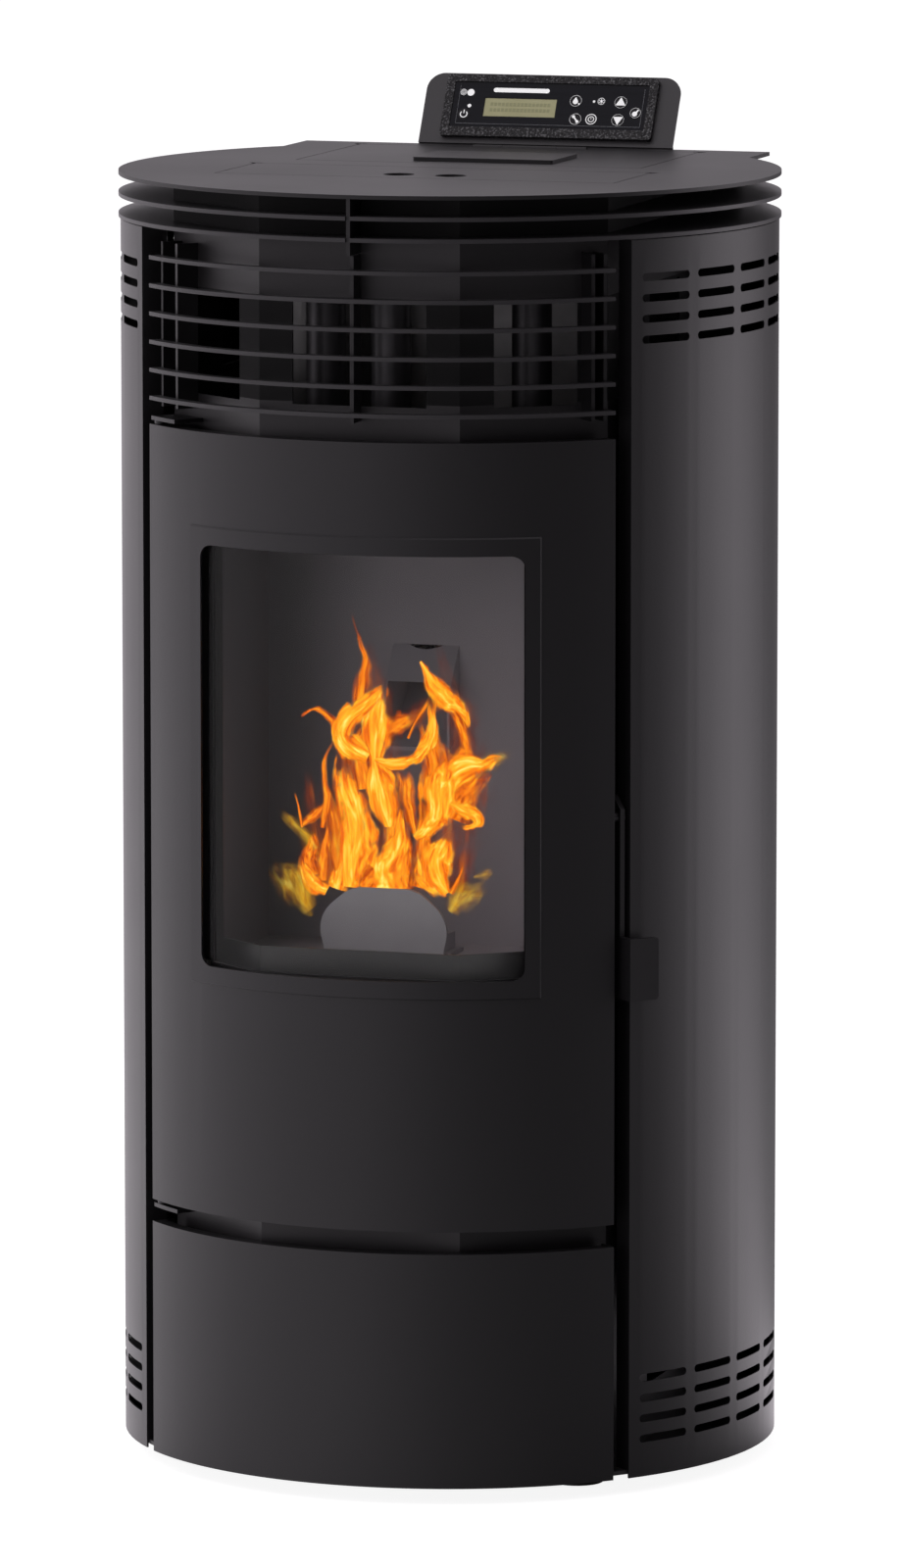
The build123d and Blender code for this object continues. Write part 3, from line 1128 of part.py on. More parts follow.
def hopper_lid():
    z0 = PLATE_UNDER + LID_SEAT
    lid = box(-LID_HALF_W, LID_HALF_W, LID_Y0, LID_Y1, z0, TOP_Z)
    lid += lid_lip(LID_HALF_W, LID_Y0, LID_Y1 - LEDGE_W)
    lid += rod_x(LID_AXIS_Y, LID_AXIS_Z, KNUCKLE_R, -KNUCKLE_MID, KNUCKLE_MID)
    lid += box(-KNUCKLE_MID, KNUCKLE_MID, LID_Y1 - 1, LID_AXIS_Y, LID_AXIS_Z, LID_AXIS_Z + 1)
    return lid - rod_x(LID_AXIS_Y, LID_AXIS_Z, LID_PIN_R + SHAFT_PLAY, -KNUCKLE_MID, KNUCKLE_MID)


def lid_hinge():
    """Fixed leaf with two knuckles and the pin."""
    leaf = rod_x(LID_AXIS_Y, LID_AXIS_Z, LID_PIN_R, -KNUCKLE_END, KNUCKLE_END)
    for side in (-1, 1):
        x0, x1 = sorted((side * (KNUCKLE_MID + SEAT), side * KNUCKLE_END))
        leaf += rod_x(LID_AXIS_Y, LID_AXIS_Z, KNUCKLE_R, x0, x1)
        leaf += box(x0, x1, LID_AXIS_Y, KNUCKLE_BACK, PLATE_UNDER, LID_AXIS_Z + 1)
    return leaf


def lid_handle():
    plate = box(GRIP_PLATE_X - GRIP_PLATE_HALF, GRIP_PLATE_X + GRIP_PLATE_HALF, GRIP_PLATE_Y0, GRIP_PLATE_Y1,
                TOP_Z, TOP_Z + GRIP_PLATE_T)
    return fillet(plate.edges().filter_by(Axis.Z), 2.0)


# ================================================================ control panel
def panel_plane(w=0.0):
    """Front face of the leaning bracket: sketch x is across, sketch y is up the slope."""
    a = radians(PANEL_LEAN)
    plane = Plane(origin=(PANEL_X, PANEL_Y, TOP_Z), x_dir=(1, 0, 0), z_dir=(0, -cos(a), sin(a)))
    return plane.offset(w)


def panel_block(x0, x1, v0, v1, w0, w1, corner=0.0):
    size = (x1 - x0, v1 - v0)
    shape = RectangleRounded(*size, corner) if corner else Rectangle(*size)
    return extrude(panel_plane(w0) * (Pos((x0 + x1) / 2, (v0 + v1) / 2) * shape), w1 - w0)


def display_bracket():
    """Folded sheet: a leg screwed to the back of the crown and a leaning plate."""
    lift = 1.2
    outline = Pos(0, (PANEL_SLANT + lift) / 2) * Rectangle(2 * PANEL_HALF_W, PANEL_SLANT - lift)
    plate = extrude(panel_plane(-PANEL_SHEET) * outline, PANEL_SHEET)
    top = plate.edges().filter_by(lambda e: abs(e.length - PANEL_SHEET) < 0.01).sort_by(Axis.Z)[-2:]
    plate = fillet(top, PANEL_CORNER)
    plate += box(PANEL_X - PANEL_HALF_W, PANEL_X + PANEL_HALF_W, REAR_OUT, REAR_OUT + PANEL_SHEET,
                 TOP_Z - PANEL_LEG, TOP_Z + 1.5)
    inset = BACK_BOX_INSET
    return plate - panel_block(-BEZEL_HALF_W + inset - SEAT, BEZEL_HALF_W - inset + SEAT,
                               BEZEL_V0 + inset - SEAT, BEZEL_V1 - inset + SEAT, -9, 9)


def display_housing():
    inset = BACK_BOX_INSET
    body = panel_block(-BEZEL_HALF_W, BEZEL_HALF_W, BEZEL_V0, BEZEL_V1, 0, BEZEL_PROUD, BEZEL_CORNER)
    body += panel_block(-BEZEL_HALF_W + inset, BEZEL_HALF_W - inset, BEZEL_V0 + inset, BEZEL_V1 - inset,
                        -BACK_BOX_D, 1)
    body -= panel_block(-FACE_HALF_W - LCD_FIT, FACE_HALF_W + LCD_FIT, FACE_V0 - LCD_FIT, FACE_V1 + LCD_FIT,
                        BEZEL_PROUD - FACE_SINK - FACE_T, BEZEL_PROUD + 1)
    for x, v in KEYS.values():
        body -= extrude(panel_plane(-1) * (Pos(x, v) * Circle(KEY_R + 1)), BEZEL_PROUD)
    return body - panel_block(LCD_X0, LCD_X1, LCD_V0, LCD_V1, -3, BEZEL_PROUD)


def display_face():
    top = BEZEL_PROUD - FACE_SINK
    face = panel_block(-FACE_HALF_W, FACE_HALF_W, FACE_V0, FACE_V1, top - FACE_T, top)
    face -= panel_block(LCD_X0, LCD_X1, LCD_V0, LCD_V1, top - FACE_T - 1, top + 1)
    for x, v in KEYS.values():
        face -= extrude(panel_plane(top - FACE_T - 1) * (Pos(x, v) * Circle(KEY_R + KEY_PLAY)), FACE_T + 2)
    return face


def lcd_screen():
    top = BEZEL_PROUD - FACE_SINK - 0.4
    return panel_block(LCD_X0 + LCD_FIT, LCD_X1 - LCD_FIT, LCD_V0 + LCD_FIT, LCD_V1 - LCD_FIT, -3 + 0.2, top)


def key(name):
    x, v = KEYS[name]
    top = BEZEL_PROUD - FACE_SINK + KEY_PROUD
    return extrude(panel_plane(top - KEY_T) * (Pos(x, v) * Circle(KEY_R)), KEY_T)


# ================================================================ electrics
def mains_inlet():
    """Appliance socket and switch frame in one snap-in body."""
    y1 = REAR_PANEL_Y + CLAD_SHEET
    half_w, half_h = INLET_W / 2, INLET_H / 2
    body = box(INLET_X - half_w, INLET_X + half_w, y1 - INLET_D, y1, INLET_Z - half_h, INLET_Z + half_h)
    body += box(INLET_X - half_w - INLET_LIP, INLET_X + half_w + INLET_LIP, y1, y1 + INLET_LIP_T,
                INLET_Z - half_h - INLET_LIP, INLET_Z + half_h + INLET_LIP)
    low = INLET_Z - ROCKER_RISE / 2 - 3
    socket = box(INLET_X - SOCKET_W / 2, INLET_X + SOCKET_W / 2, y1 + INLET_LIP_T - SOCKET_D, y1 + INLET_LIP_T,
                 low - SOCKET_H / 2, low + SOCKET_H / 2)
    socket = chamfer(socket.edges().filter_by(Axis.Y).sort_by(Axis.Z)[-2:], 4)
    body -= socket
    for dx, dz in ((-7, -2), (7, -2), (0, 2)):
        body += box(INLET_X + dx - 1, INLET_X + dx + 1, y1 + INLET_LIP_T - SOCKET_D - 1, y1 - 3,
                    low + dz - 2, low + dz + 2)
    z = INLET_Z + ROCKER_RISE
    return body - box(INLET_X - ROCKER_W / 2 - 0.4, INLET_X + ROCKER_W / 2 + 0.4, y1 - 12, y1 + INLET_LIP_T,
                      z - ROCKER_H / 2 - 0.9, z + ROCKER_H / 2 + 0.9)


def mains_switch():
    """Rocker that tips about a line across its middle."""
    y1 = REAR_PANEL_Y + CLAD_SHEET
    z = INLET_Z + ROCKER_RISE
    half = ROCKER_H / 2
    outline = [(-5, -3), (4.4, -half), (3.2, 0), (4.4, half), (-5, 3)]
    rocker = side_prism(outline, INLET_X - ROCKER_W / 2, INLET_X + ROCKER_W / 2)
    return Pos(0, y1 - 1, z) * Rot(-ROCKER_TILT, 0, 0) * rocker


def control_board():
    """Plastic case with the power board, screwed to the left frame wall."""
    case = box(-WALL_IN, -WALL_IN + BOARD_D, BOARD_Y, BOARD_Y + BOARD_W, BOARD_Z, BOARD_Z + BOARD_H)
    case = fillet(case.edges().filter_by(Axis.X), 4)
    for i in range(6):
        z = BOARD_Z + 24 + i * 22
        case -= box(-WALL_IN + BOARD_D - 2, -WALL_IN + BOARD_D, BOARD_Y + 20, BOARD_Y + BOARD_W - 20, z, z + 5)
    return case


# ================================================================ write the parts
def all_parts():
    parts = {
        "base_plate": base_plate, "rubber_feet": rubber_feet, "front_frame": front_frame,
        "frame_walls": frame_walls, "top_plate": top_plate, "crown_discs": crown_discs,
        "crown_fins": crown_fins, "grille_slats": grille_slats, "grille_ribs": grille_ribs,
        "side_panel_left": lambda: side_panel(-1), "side_panel_right": lambda: side_panel(1),
        "rear_panel": rear_panel, "frame_screws": frame_screws, "lower_front_panel": lower_front_panel,
        "door_skin": door_skin, "window_trim": window_trim, "window_glass": window_glass,
        "door_seals": door_seals, "door_frame": door_frame, "glass_clips": glass_clips,
        "hinge_brackets": hinge_brackets, "handle_lever": handle_lever, "handle_pin": handle_pin,
        "door_catch": door_catch, "firebox": firebox, "exchanger_tubes": exchanger_tubes,
        "smoke_duct": smoke_duct, "burn_pot": burn_pot, "igniter": igniter, "ash_drawer": ash_drawer,
        "hopper": hopper, "auger_tube": auger_tube, "auger_bushes": auger_bushes,
        "auger_screw": auger_screw, "auger_motor": auger_motor, "fan_housing": fan_housing,
        "fan_impeller": fan_impeller, "fan_motor": fan_motor, "air_intake_pipe": air_intake_pipe,
        "blower_housing": blower_housing, "blower_rotor": blower_rotor, "blower_motor": blower_motor,
        "cleaning_cover": cleaning_cover, "hopper_lid": hopper_lid, "lid_hinge": lid_hinge,
        "lid_handle": lid_handle, "display_bracket": display_bracket, "display_housing": display_housing,
        "display_face": display_face, "lcd_screen": lcd_screen, "mains_inlet": mains_inlet,
        "mains_switch": mains_switch, "control_board": control_board,
    }
    for name in KEYS:
        parts[name] = lambda name=name: key(name)
    return parts


def place(shape):
    """Move a piece from the cladding's axis to the stove's own origin."""
    return Pos(0, AXIS_Y, 0) * shape


if __name__ == "__main__":
    os.makedirs("parts", exist_ok=True)
    for name, make in all_parts().items():
        export_step(place(make()), f"parts/{name}.step")
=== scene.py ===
import math
import random

import bmesh
import bpy
from mathutils import Matrix, Vector


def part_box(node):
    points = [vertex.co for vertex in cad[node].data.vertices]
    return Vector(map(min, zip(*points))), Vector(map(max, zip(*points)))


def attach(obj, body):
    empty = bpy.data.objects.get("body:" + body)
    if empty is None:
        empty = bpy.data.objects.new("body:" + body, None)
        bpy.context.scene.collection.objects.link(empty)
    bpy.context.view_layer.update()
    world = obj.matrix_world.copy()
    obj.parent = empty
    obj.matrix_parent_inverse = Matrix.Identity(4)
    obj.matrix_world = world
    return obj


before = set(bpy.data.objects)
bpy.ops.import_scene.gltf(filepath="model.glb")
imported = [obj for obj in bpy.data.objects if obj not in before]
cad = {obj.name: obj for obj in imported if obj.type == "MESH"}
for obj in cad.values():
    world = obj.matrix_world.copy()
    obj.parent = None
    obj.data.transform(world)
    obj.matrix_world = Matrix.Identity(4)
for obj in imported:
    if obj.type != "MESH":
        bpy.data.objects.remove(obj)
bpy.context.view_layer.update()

# ---------------------------------------------------------------- where the stove stands
# The stove was photographed on a white sweep, from a little to its right and a little from
# above, with a long lens.  Its cladding is round about this upright axis.
disc_radius = 0.2515
axis_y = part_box("crown_discs")[0].y + disc_radius
scene = bpy.context.scene
scene.view_settings.view_transform = "Standard"

view_turn = math.radians(17.52)
view_down = math.radians(8.0591)
view_distance = 7.87994
view_height = 1.62507
camera_data = bpy.data.cameras.new("camera")
camera_data.sensor_fit = "VERTICAL"
camera_data.sensor_height = 36
camera_data.lens = 238.84
camera_data.clip_end = 200
camera = bpy.data.objects.new("camera", camera_data)
camera.location = (view_distance * math.sin(view_turn),
                   axis_y - view_distance * math.cos(view_turn), view_height)
camera.rotation_euler = (math.radians(90) - view_down, 0, view_turn)
scene.collection.objects.link(camera)
scene.camera = camera


# ---------------------------------------------------------------- studio
# A dim room with a white sweep behind the stove.  The paint mirrors pale cards, broad ones
# from behind at the left to the front and a narrow bright one well round to the right, under
# a pale ceiling.
def group_of(name, inputs, outputs):
    """An empty shader node group, with its input and output nodes."""
    group = bpy.data.node_groups.new(name, "ShaderNodeTree")
    for socket in inputs:
        kind = "NodeSocketVector" if socket == "Vector" else "NodeSocketFloat"
        group.interface.new_socket(socket, in_out="INPUT", socket_type=kind)
    for socket in outputs:
        group.interface.new_socket(socket, in_out="OUTPUT", socket_type="NodeSocketFloat")
    return group, group.nodes.new("NodeGroupInput"), group.nodes.new("NodeGroupOutput")


def calculate(nodes, links, operation, first, second):
    """A Math node on two values, each a number or another node's output."""
    step = nodes.new("ShaderNodeMath")
    step.operation = operation
    for socket, value in zip(step.inputs, (first, second)):
        if isinstance(value, (int, float)):
            socket.default_value = value
        else:
            links.new(value, socket)
    return step.outputs[0]


# Bearings in degrees from the front, positive to the right, with each card's level there.
CARDS = ((-180, 0.02), (-168, 0.43), (-150, 0.47), (-130, 0.45), (-111, 0.54), (-97, 0.51),
         (-73, 0.54), (-35, 0.36), (-13, 0.30), (18, 0.07), (45, 0.0), (80, 0.0), (95, 0.15),
         (107, 0.49), (124, 0.98), (140, 0.74), (153, 0.12), (166, 0.0))
CARD_STRENGTH = 1.6
ROOM_TINT = (1.0, 0.93, 1.0, 1)
CEILING_LEVEL = 0.5
cards, enter, leave = group_of("cards", ["Vector"], ["Level"])
split = cards.nodes.new("ShaderNodeSeparateXYZ")
cards.links.new(enter.outputs["Vector"], split.inputs[0])
towards = calculate(cards.nodes, cards.links, "MULTIPLY", split.outputs["Y"], -1)
bearing = calculate(cards.nodes, cards.links, "ARCTAN2", split.outputs["X"], towards)
turn = cards.nodes.new("ShaderNodeMapRange")
turn.inputs["From Min"].default_value = -math.pi
turn.inputs["From Max"].default_value = math.pi
cards.links.new(bearing, turn.inputs["Value"])
ring = cards.nodes.new("ShaderNodeValToRGB")
stops = ring.color_ramp.elements
stops.remove(stops[1])
for number, (angle, level) in enumerate(CARDS):
    place = (angle + 180) / 360
    stop = stops[0] if number == 0 else stops.new(place)
    stop.position = place
    stop.color = (level, level, level, 1)
cards.links.new(turn.outputs[0], ring.inputs["Fac"])
bright = calculate(cards.nodes, cards.links, "MULTIPLY", ring.outputs["Color"], CARD_STRENGTH)
cards.links.new(bright, leave.inputs["Level"])


def card_level(nodes, links, vector):
    """How bright the cards are in a direction."""
    node = nodes.new("ShaderNodeGroup")
    node.node_tree = cards
    links.new(vector, node.inputs["Vector"])
    return node.outputs["Level"]


def blend_shaders(nodes, links, share, first, second):
    """The first shader, and the second where the share is one."""
    mix = nodes.new("ShaderNodeMixShader")
    links.new(share, mix.inputs["Fac"])
    links.new(first.outputs[0], mix.inputs[1])
    links.new(second.outputs[0], mix.inputs[2])
    return mix


def light_path_sum(nodes, links, *kinds):
    """One where a ray is of any of the kinds named, else nothing."""
    path = nodes.new("ShaderNodeLightPath")
    total = path.outputs[kinds[0]]
    for kind in kinds[1:]:
        add = nodes.new("ShaderNodeMath")
        add.use_clamp = True
        links.new(total, add.inputs[0])
        links.new(path.outputs[kind], add.inputs[1])
        total = add.outputs[0]
    return total


world = bpy.data.worlds.new("studio")
scene.world = world
world.use_nodes = True
nodes, links = world.node_tree.nodes, world.node_tree.links
room = nodes["Background"]
room.inputs["Color"].default_value = ROOM_TINT
white = nodes.new("ShaderNodeBackground")
white.inputs["Color"].default_value = (1, 1, 1, 1)
direction = nodes.new("ShaderNodeTexCoord")
split = nodes.new("ShaderNodeSeparateXYZ")
links.new(direction.outputs["Generated"], split.inputs[0])
overhead = nodes.new("ShaderNodeMapRange")
overhead.interpolation_type = "SMOOTHSTEP"
overhead.inputs["From Min"].default_value = 0.4
overhead.inputs["From Max"].default_value = 0.9
links.new(split.outputs["Z"], overhead.inputs["Value"])
ceiling = nodes.new("ShaderNodeMix")
ceiling.inputs["B"].default_value = CEILING_LEVEL
links.new(overhead.outputs[0], ceiling.inputs["Factor"])
links.new(card_level(nodes, links, direction.outputs["Generated"]), ceiling.inputs["A"])
links.new(ceiling.outputs["Result"], room.inputs["Strength"])
seen = light_path_sum(nodes, links, "Is Camera Ray", "Is Transmission Ray")
shown = blend_shaders(nodes, links, seen, room, white)
links.new(shown.outputs[0], nodes["World Output"].inputs["Surface"])


# ---------------------------------------------------------------- floor
# The sweep runs on under the stove: white to the lens, as bright as the cards in
# reflections, and it keeps the soft shadow.
def new_material(name):
    """A node material, with its Principled shader and its own Object coordinates."""
    material = bpy.data.materials.new(name)
    material.use_nodes = True
    nodes = material.node_tree.nodes
    coords = nodes.new("ShaderNodeTexCoord")
    return material, nodes, material.node_tree.links, nodes["Principled BSDF"], coords


floor_mesh = bpy.data.meshes.new("floor")
sweep = bmesh.new()
sweep_reach = 60
bmesh.ops.create_grid(sweep, x_segments=1, y_segments=1, size=sweep_reach)
sweep.to_mesh(floor_mesh)
sweep.free()
floor = bpy.data.objects.new("floor", floor_mesh)
scene.collection.objects.link(floor)
floor_paint, nodes, links, shader, coords = new_material("floor_paint")
shader.inputs["Base Color"].default_value = (0.35, 0.35, 0.35, 1)
shader.inputs["Roughness"].default_value = 0.9
shader.inputs["Specular IOR Level"].default_value = 0.0
glow = nodes.new("ShaderNodeEmission")
glow.inputs["Strength"].default_value = 0.9
card_glow = nodes.new("ShaderNodeEmission")
card_glow.inputs["Color"].default_value = ROOM_TINT
links.new(card_level(nodes, links, coords.outputs["Object"]), card_glow.inputs["Strength"])
unlit = nodes.new("ShaderNodeEmission")
unlit.inputs["Strength"].default_value = 0.0
mirrored = light_path_sum(nodes, links, "Is Glossy Ray")
seen = light_path_sum(nodes, links, "Is Camera Ray", "Is Transmission Ray")
lit = blend_shaders(nodes, links, mirrored, unlit, card_glow)
lit = blend_shaders(nodes, links, seen, lit, glow)
both = nodes.new("ShaderNodeAddShader")
links.new(shader.outputs[0], both.inputs[0])
links.new(lit.outputs[0], both.inputs[1])
links.new(both.outputs[0], nodes["Material Output"].inputs["Surface"])
floor_mesh.materials.append(floor_paint)


# ---------------------------------------------------------------- lamps
# Three soft boxes: one from the left and a little behind, a tall narrow one from behind at
# the right, and one overhead.  They light the paint's own colour and show in no reflection.
def soft_box(name, place, aim, wide, high, power):
    """A rectangular studio lamp at a place, aimed at a point."""
    data = bpy.data.lights.new(name, "AREA")
    data.shape = "RECTANGLE"
    data.size, data.size_y, data.energy = wide, high, power
    lamp = bpy.data.objects.new(name, data)
    lamp.location = place
    lamp.rotation_euler = (Vector(aim) - Vector(place)).to_track_quat("-Z", "Y").to_euler()
    lamp.visible_glossy = False
    scene.collection.objects.link(lamp)


soft_box("left_box", (-3.1, 0.7, 1.3), (0, 0, 0.6), 1.2, 2.6, 42)
soft_box("right_strip", (2.6, 2.2, 1.2), (0, 0, 0.6), 0.7, 2.4, 12)
soft_box("top_box", (-0.6, -0.4, 3.0), (0, 0, 0.9), 2.0, 2.0, 22)


# ---------------------------------------------------------------- painted cladding
# Side panels, door skin and lower panel are rolled sheet steel, sprayed with satin
# heat-resistant anthracite and baked: a fine speckle over faint long waves of gloss.
def noise(nodes, links, vector, scale, detail):
    """A noise texture's value."""
    texture = nodes.new("ShaderNodeTexNoise")
    texture.inputs["Scale"].default_value = scale
    texture.inputs["Detail"].default_value = detail
    links.new(vector, texture.inputs["Vector"])
    return texture.outputs["Fac"]


def spread(nodes, links, value, low, high):
    """A value from nought to one, stretched to run from low to high."""
    change = nodes.new("ShaderNodeMapRange")
    change.inputs["To Min"].default_value = low
    change.inputs["To Max"].default_value = high
    links.new(value, change.inputs["Value"])
    return change.outputs[0]


def tint(nodes, links, mask, dark, light):
    """The dark colour, and the light one where the mask is one."""
    mix = nodes.new("ShaderNodeMix")
    mix.data_type = "RGBA"
    mix.inputs["A"].default_value = (*dark, 1)
    mix.inputs["B"].default_value = (*light, 1)
    links.new(mask, mix.inputs["Factor"])
    return mix.outputs["Result"]


def raise_grain(nodes, links, shader, height, strength, depth):
    """Bump a surface by a value, up to a depth in metres."""
    bump = nodes.new("ShaderNodeBump")
    bump.inputs["Strength"].default_value = strength
    bump.inputs["Distance"].default_value = depth
    links.new(height, bump.inputs["Height"])
    links.new(bump.outputs["Normal"], shader.inputs["Normal"])


GRAINS_PER_METRE, SPECKLE_CONTRAST, GLOSS_WAVE = 1400, 0.15, 0.05
spray, enter, leave = group_of("sprayed_coat", ["Vector", "Grain"], ["Speckle", "Waves", "Peel"])
grains = spray.nodes.new("ShaderNodeTexNoise")
grains.inputs["Detail"].default_value = 2
spray.links.new(enter.outputs["Vector"], grains.inputs["Vector"])
spray.links.new(enter.outputs["Grain"], grains.inputs["Scale"])
spray.links.new(grains.outputs["Fac"], leave.inputs["Speckle"])
for socket, scale, detail in (("Waves", 6, 3), ("Peel", 420, 2)):
    texture = noise(spray.nodes, spray.links, enter.outputs["Vector"], scale, detail)
    spray.links.new(texture, leave.inputs[socket])


def sprayed_steel(name, colour, roughness, peel_depth):
    """Satin sprayed paint: its colour, its roughness and the depth of its peel in metres."""
    material, nodes, links, shader, coords = new_material(name)
    coat = nodes.new("ShaderNodeGroup")
    coat.node_tree = spray
    coat.inputs["Grain"].default_value = GRAINS_PER_METRE
    links.new(coords.outputs["Object"], coat.inputs["Vector"])
    dark = [c * (1 - SPECKLE_CONTRAST) for c in colour]
    light = [c * (1 + SPECKLE_CONTRAST) for c in colour]
    links.new(tint(nodes, links, coat.outputs["Speckle"], dark, light), shader.inputs["Base Color"])
    links.new(spread(nodes, links, coat.outputs["Waves"], roughness - GLOSS_WAVE,
                     roughness + GLOSS_WAVE), shader.inputs["Roughness"])
    raise_grain(nodes, links, shader, coat.outputs["Peel"], 0.35, peel_depth)
    return material


def give(material, *names):
    """Put a material on CAD nodes."""
    for name in names:
        for slot in cad[name].material_slots:
            slot.material = material


ANTHRACITE = (0.014, 0.0133, 0.0144)
anthracite = sprayed_steel("anthracite", ANTHRACITE, 0.36, 0.00012)
give(anthracite, "side_panel_left", "side_panel_right", "lower_front_panel", "door_skin",
     "window_trim")

# ---------------------------------------------------------------- crown
# The top plate lies on two laser-cut discs, held apart by an upright fin at the front and
# small webs at the sides.  Top and lids have the cladding's colour in a flatter coat, and
# the discs a paler one.
crown_paint = sprayed_steel("crown_paint", ANTHRACITE, 0.47, 0.00015)
give(crown_paint, "top_plate", "crown_fins", "cleaning_cover", "hopper_lid", "lid_handle",
     "lid_hinge")
ring_paint = sprayed_steel("ring_paint", (0.04, 0.0385, 0.041), 0.40, 0.00012)
give(ring_paint, "crown_discs")

# ---------------------------------------------------------------- panel bracket
# Folded sheet: a leg screwed to the back of the crown and a leaning plate that holds the
# panel, in a flatter anthracite made paler than the cladding's as painted light, for the
# light that falls on it from above.
bracket_paint_painted_light = sprayed_steel("bracket_paint_painted_light", (0.054, 0.052, 0.055), 0.42, 0.00012)
give(bracket_paint_painted_light, "display_bracket")

# ---------------------------------------------------------------- grille
# Six laser-cut rings of sheet in the discs' pale coat, slotted over upright ribs, in front
# of the warm-air openings.
give(ring_paint, "grille_slats")
give(anthracite, "grille_ribs")

# ---------------------------------------------------------------- inner frame
# The folded frame that carries everything is painted before the cladding goes on, with a
# thinner and flatter coat; the strips behind the grille and between the discs are painted
# near-black and matt instead, as painted shade for the dark recesses there.
FRAME_COAT = (0.03, 0.0285, 0.03)
frame_paint = sprayed_steel("frame_paint", FRAME_COAT, 0.42, 0.00015)
grille_low, grille_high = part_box("grille_slats")
disc_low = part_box("crown_discs")[0].z
# Heights at which the painted shade strips begin and end on the frame.
above_grille_foot, below_grille_top, below_discs = 0.006, 0.026, 0.001
painted_shade_strips = ((grille_low.z + above_grille_foot, 1), (grille_high.z - below_grille_top, 0),
          (disc_low - below_discs, 1))
nodes, links = frame_paint.node_tree.nodes, frame_paint.node_tree.links
shader, coords = nodes["Principled BSDF"], nodes["Texture Coordinate"]
height = nodes.new("ShaderNodeSeparateXYZ")
links.new(coords.outputs["Object"], height.inputs[0])
painted_shade_mask = nodes.new("ShaderNodeValToRGB")
painted_shade_mask.color_ramp.interpolation = "CONSTANT"
levels = painted_shade_mask.color_ramp.elements
levels.remove(levels[1])
levels[0].color = (0, 0, 0, 1)
for place, level in painted_shade_strips:
    levels.new(place).color = (level, level, level, 1)
links.new(height.outputs["Z"], painted_shade_mask.inputs["Fac"])
# Painted shade: inside the strips the colour turns near-black and the roughness matt.
for socket, kind, painted_shade_strip_value in (("Base Color", "RGBA", (0.003, 0.003, 0.003, 1)),
                                 ("Roughness", "FLOAT", 0.8)):
    coated = shader.inputs[socket].links[0].from_socket
    patch = nodes.new("ShaderNodeMix")
    patch.data_type = kind
    patch.inputs["B"].default_value = painted_shade_strip_value
    links.new(painted_shade_mask.outputs["Color"], patch.inputs["Factor"])
    links.new(coated, patch.inputs["A"])
    links.new(patch.outputs["Result"], shader.inputs[socket])
give(frame_paint, "front_frame", "frame_walls")

# ---------------------------------------------------------------- rear panel, base and door tray
# The same thin coat without the painted shade strips, on the sheets that close the back,
# carry the feet and stiffen the door.
back_paint = sprayed_steel("back_paint", FRAME_COAT, 0.42, 0.00015)
give(back_paint, "base_plate", "rear_panel", "door_frame", "door_catch")

# ---------------------------------------------------------------- door handle
# A flat lever of thick plate with a welded grip, sprayed with the cladding together with
# its turned pin.  The hinge tabs at the door's other edge have the same paint.
give(anthracite, "handle_lever", "handle_pin", "hinge_brackets")

# ---------------------------------------------------------------- bare sheet and turned steel
# Parts that nobody sees in use stay bare: rolled sheet with fine lines from the mill and a
# few dull stains.
brushed, enter, leave = group_of("mill_lines", ["Vector", "Stain Size"], ["Lines", "Stains"])
stretch = brushed.nodes.new("ShaderNodeMapping")
mill_line_scale = (260, 260, 9)
stretch.inputs["Scale"].default_value = mill_line_scale
brushed.links.new(enter.outputs["Vector"], stretch.inputs["Vector"])
lines = noise(brushed.nodes, brushed.links, stretch.outputs["Vector"], 4, 4)
brushed.links.new(lines, leave.inputs["Lines"])
stains = brushed.nodes.new("ShaderNodeTexNoise")
stains.inputs["Detail"].default_value = 5
brushed.links.new(enter.outputs["Vector"], stains.inputs["Vector"])
brushed.links.new(enter.outputs["Stain Size"], stains.inputs["Scale"])
brushed.links.new(stains.outputs["Fac"], leave.inputs["Stains"])


def bare_metal(name, colour, roughness, stain, stain_size=25, metallic=1.0):
    """Rolled or turned metal, stained by up to the share given."""
    material, nodes, links, shader, coords = new_material(name)
    mill = nodes.new("ShaderNodeGroup")
    mill.node_tree = brushed
    mill.inputs["Stain Size"].default_value = stain_size
    links.new(coords.outputs["Object"], mill.inputs["Vector"])
    mask = spread(nodes, links, mill.outputs["Stains"], -0.6, 1.6)
    dull = [c * (1 - stain) for c in colour]
    links.new(tint(nodes, links, mask, dull, colour), shader.inputs["Base Color"])
    links.new(spread(nodes, links, mill.outputs["Lines"], roughness - 0.08, roughness + 0.12),
              shader.inputs["Roughness"])
    shader.inputs["Metallic"].default_value = metallic
    raise_grain(nodes, links, shader, mill.outputs["Lines"], 0.2, 0.0001)
    return material


bare_steel = bare_metal("bare_steel", (0.52, 0.52, 0.51), 0.36, 0.35)
give(bare_steel, "hopper", "smoke_duct", "fan_housing", "blower_housing", "ash_drawer",
     "glass_clips", "frame_screws")
turned_steel = bare_metal("turned_steel", (0.6, 0.6, 0.6), 0.25, 0.2, 60)
give(turned_steel, "auger_screw", "fan_impeller", "blower_rotor")
pipe_steel = bare_metal("pipe_steel", (0.56, 0.57, 0.57), 0.3, 0.2, 12)
give(pipe_steel, "air_intake_pipe")
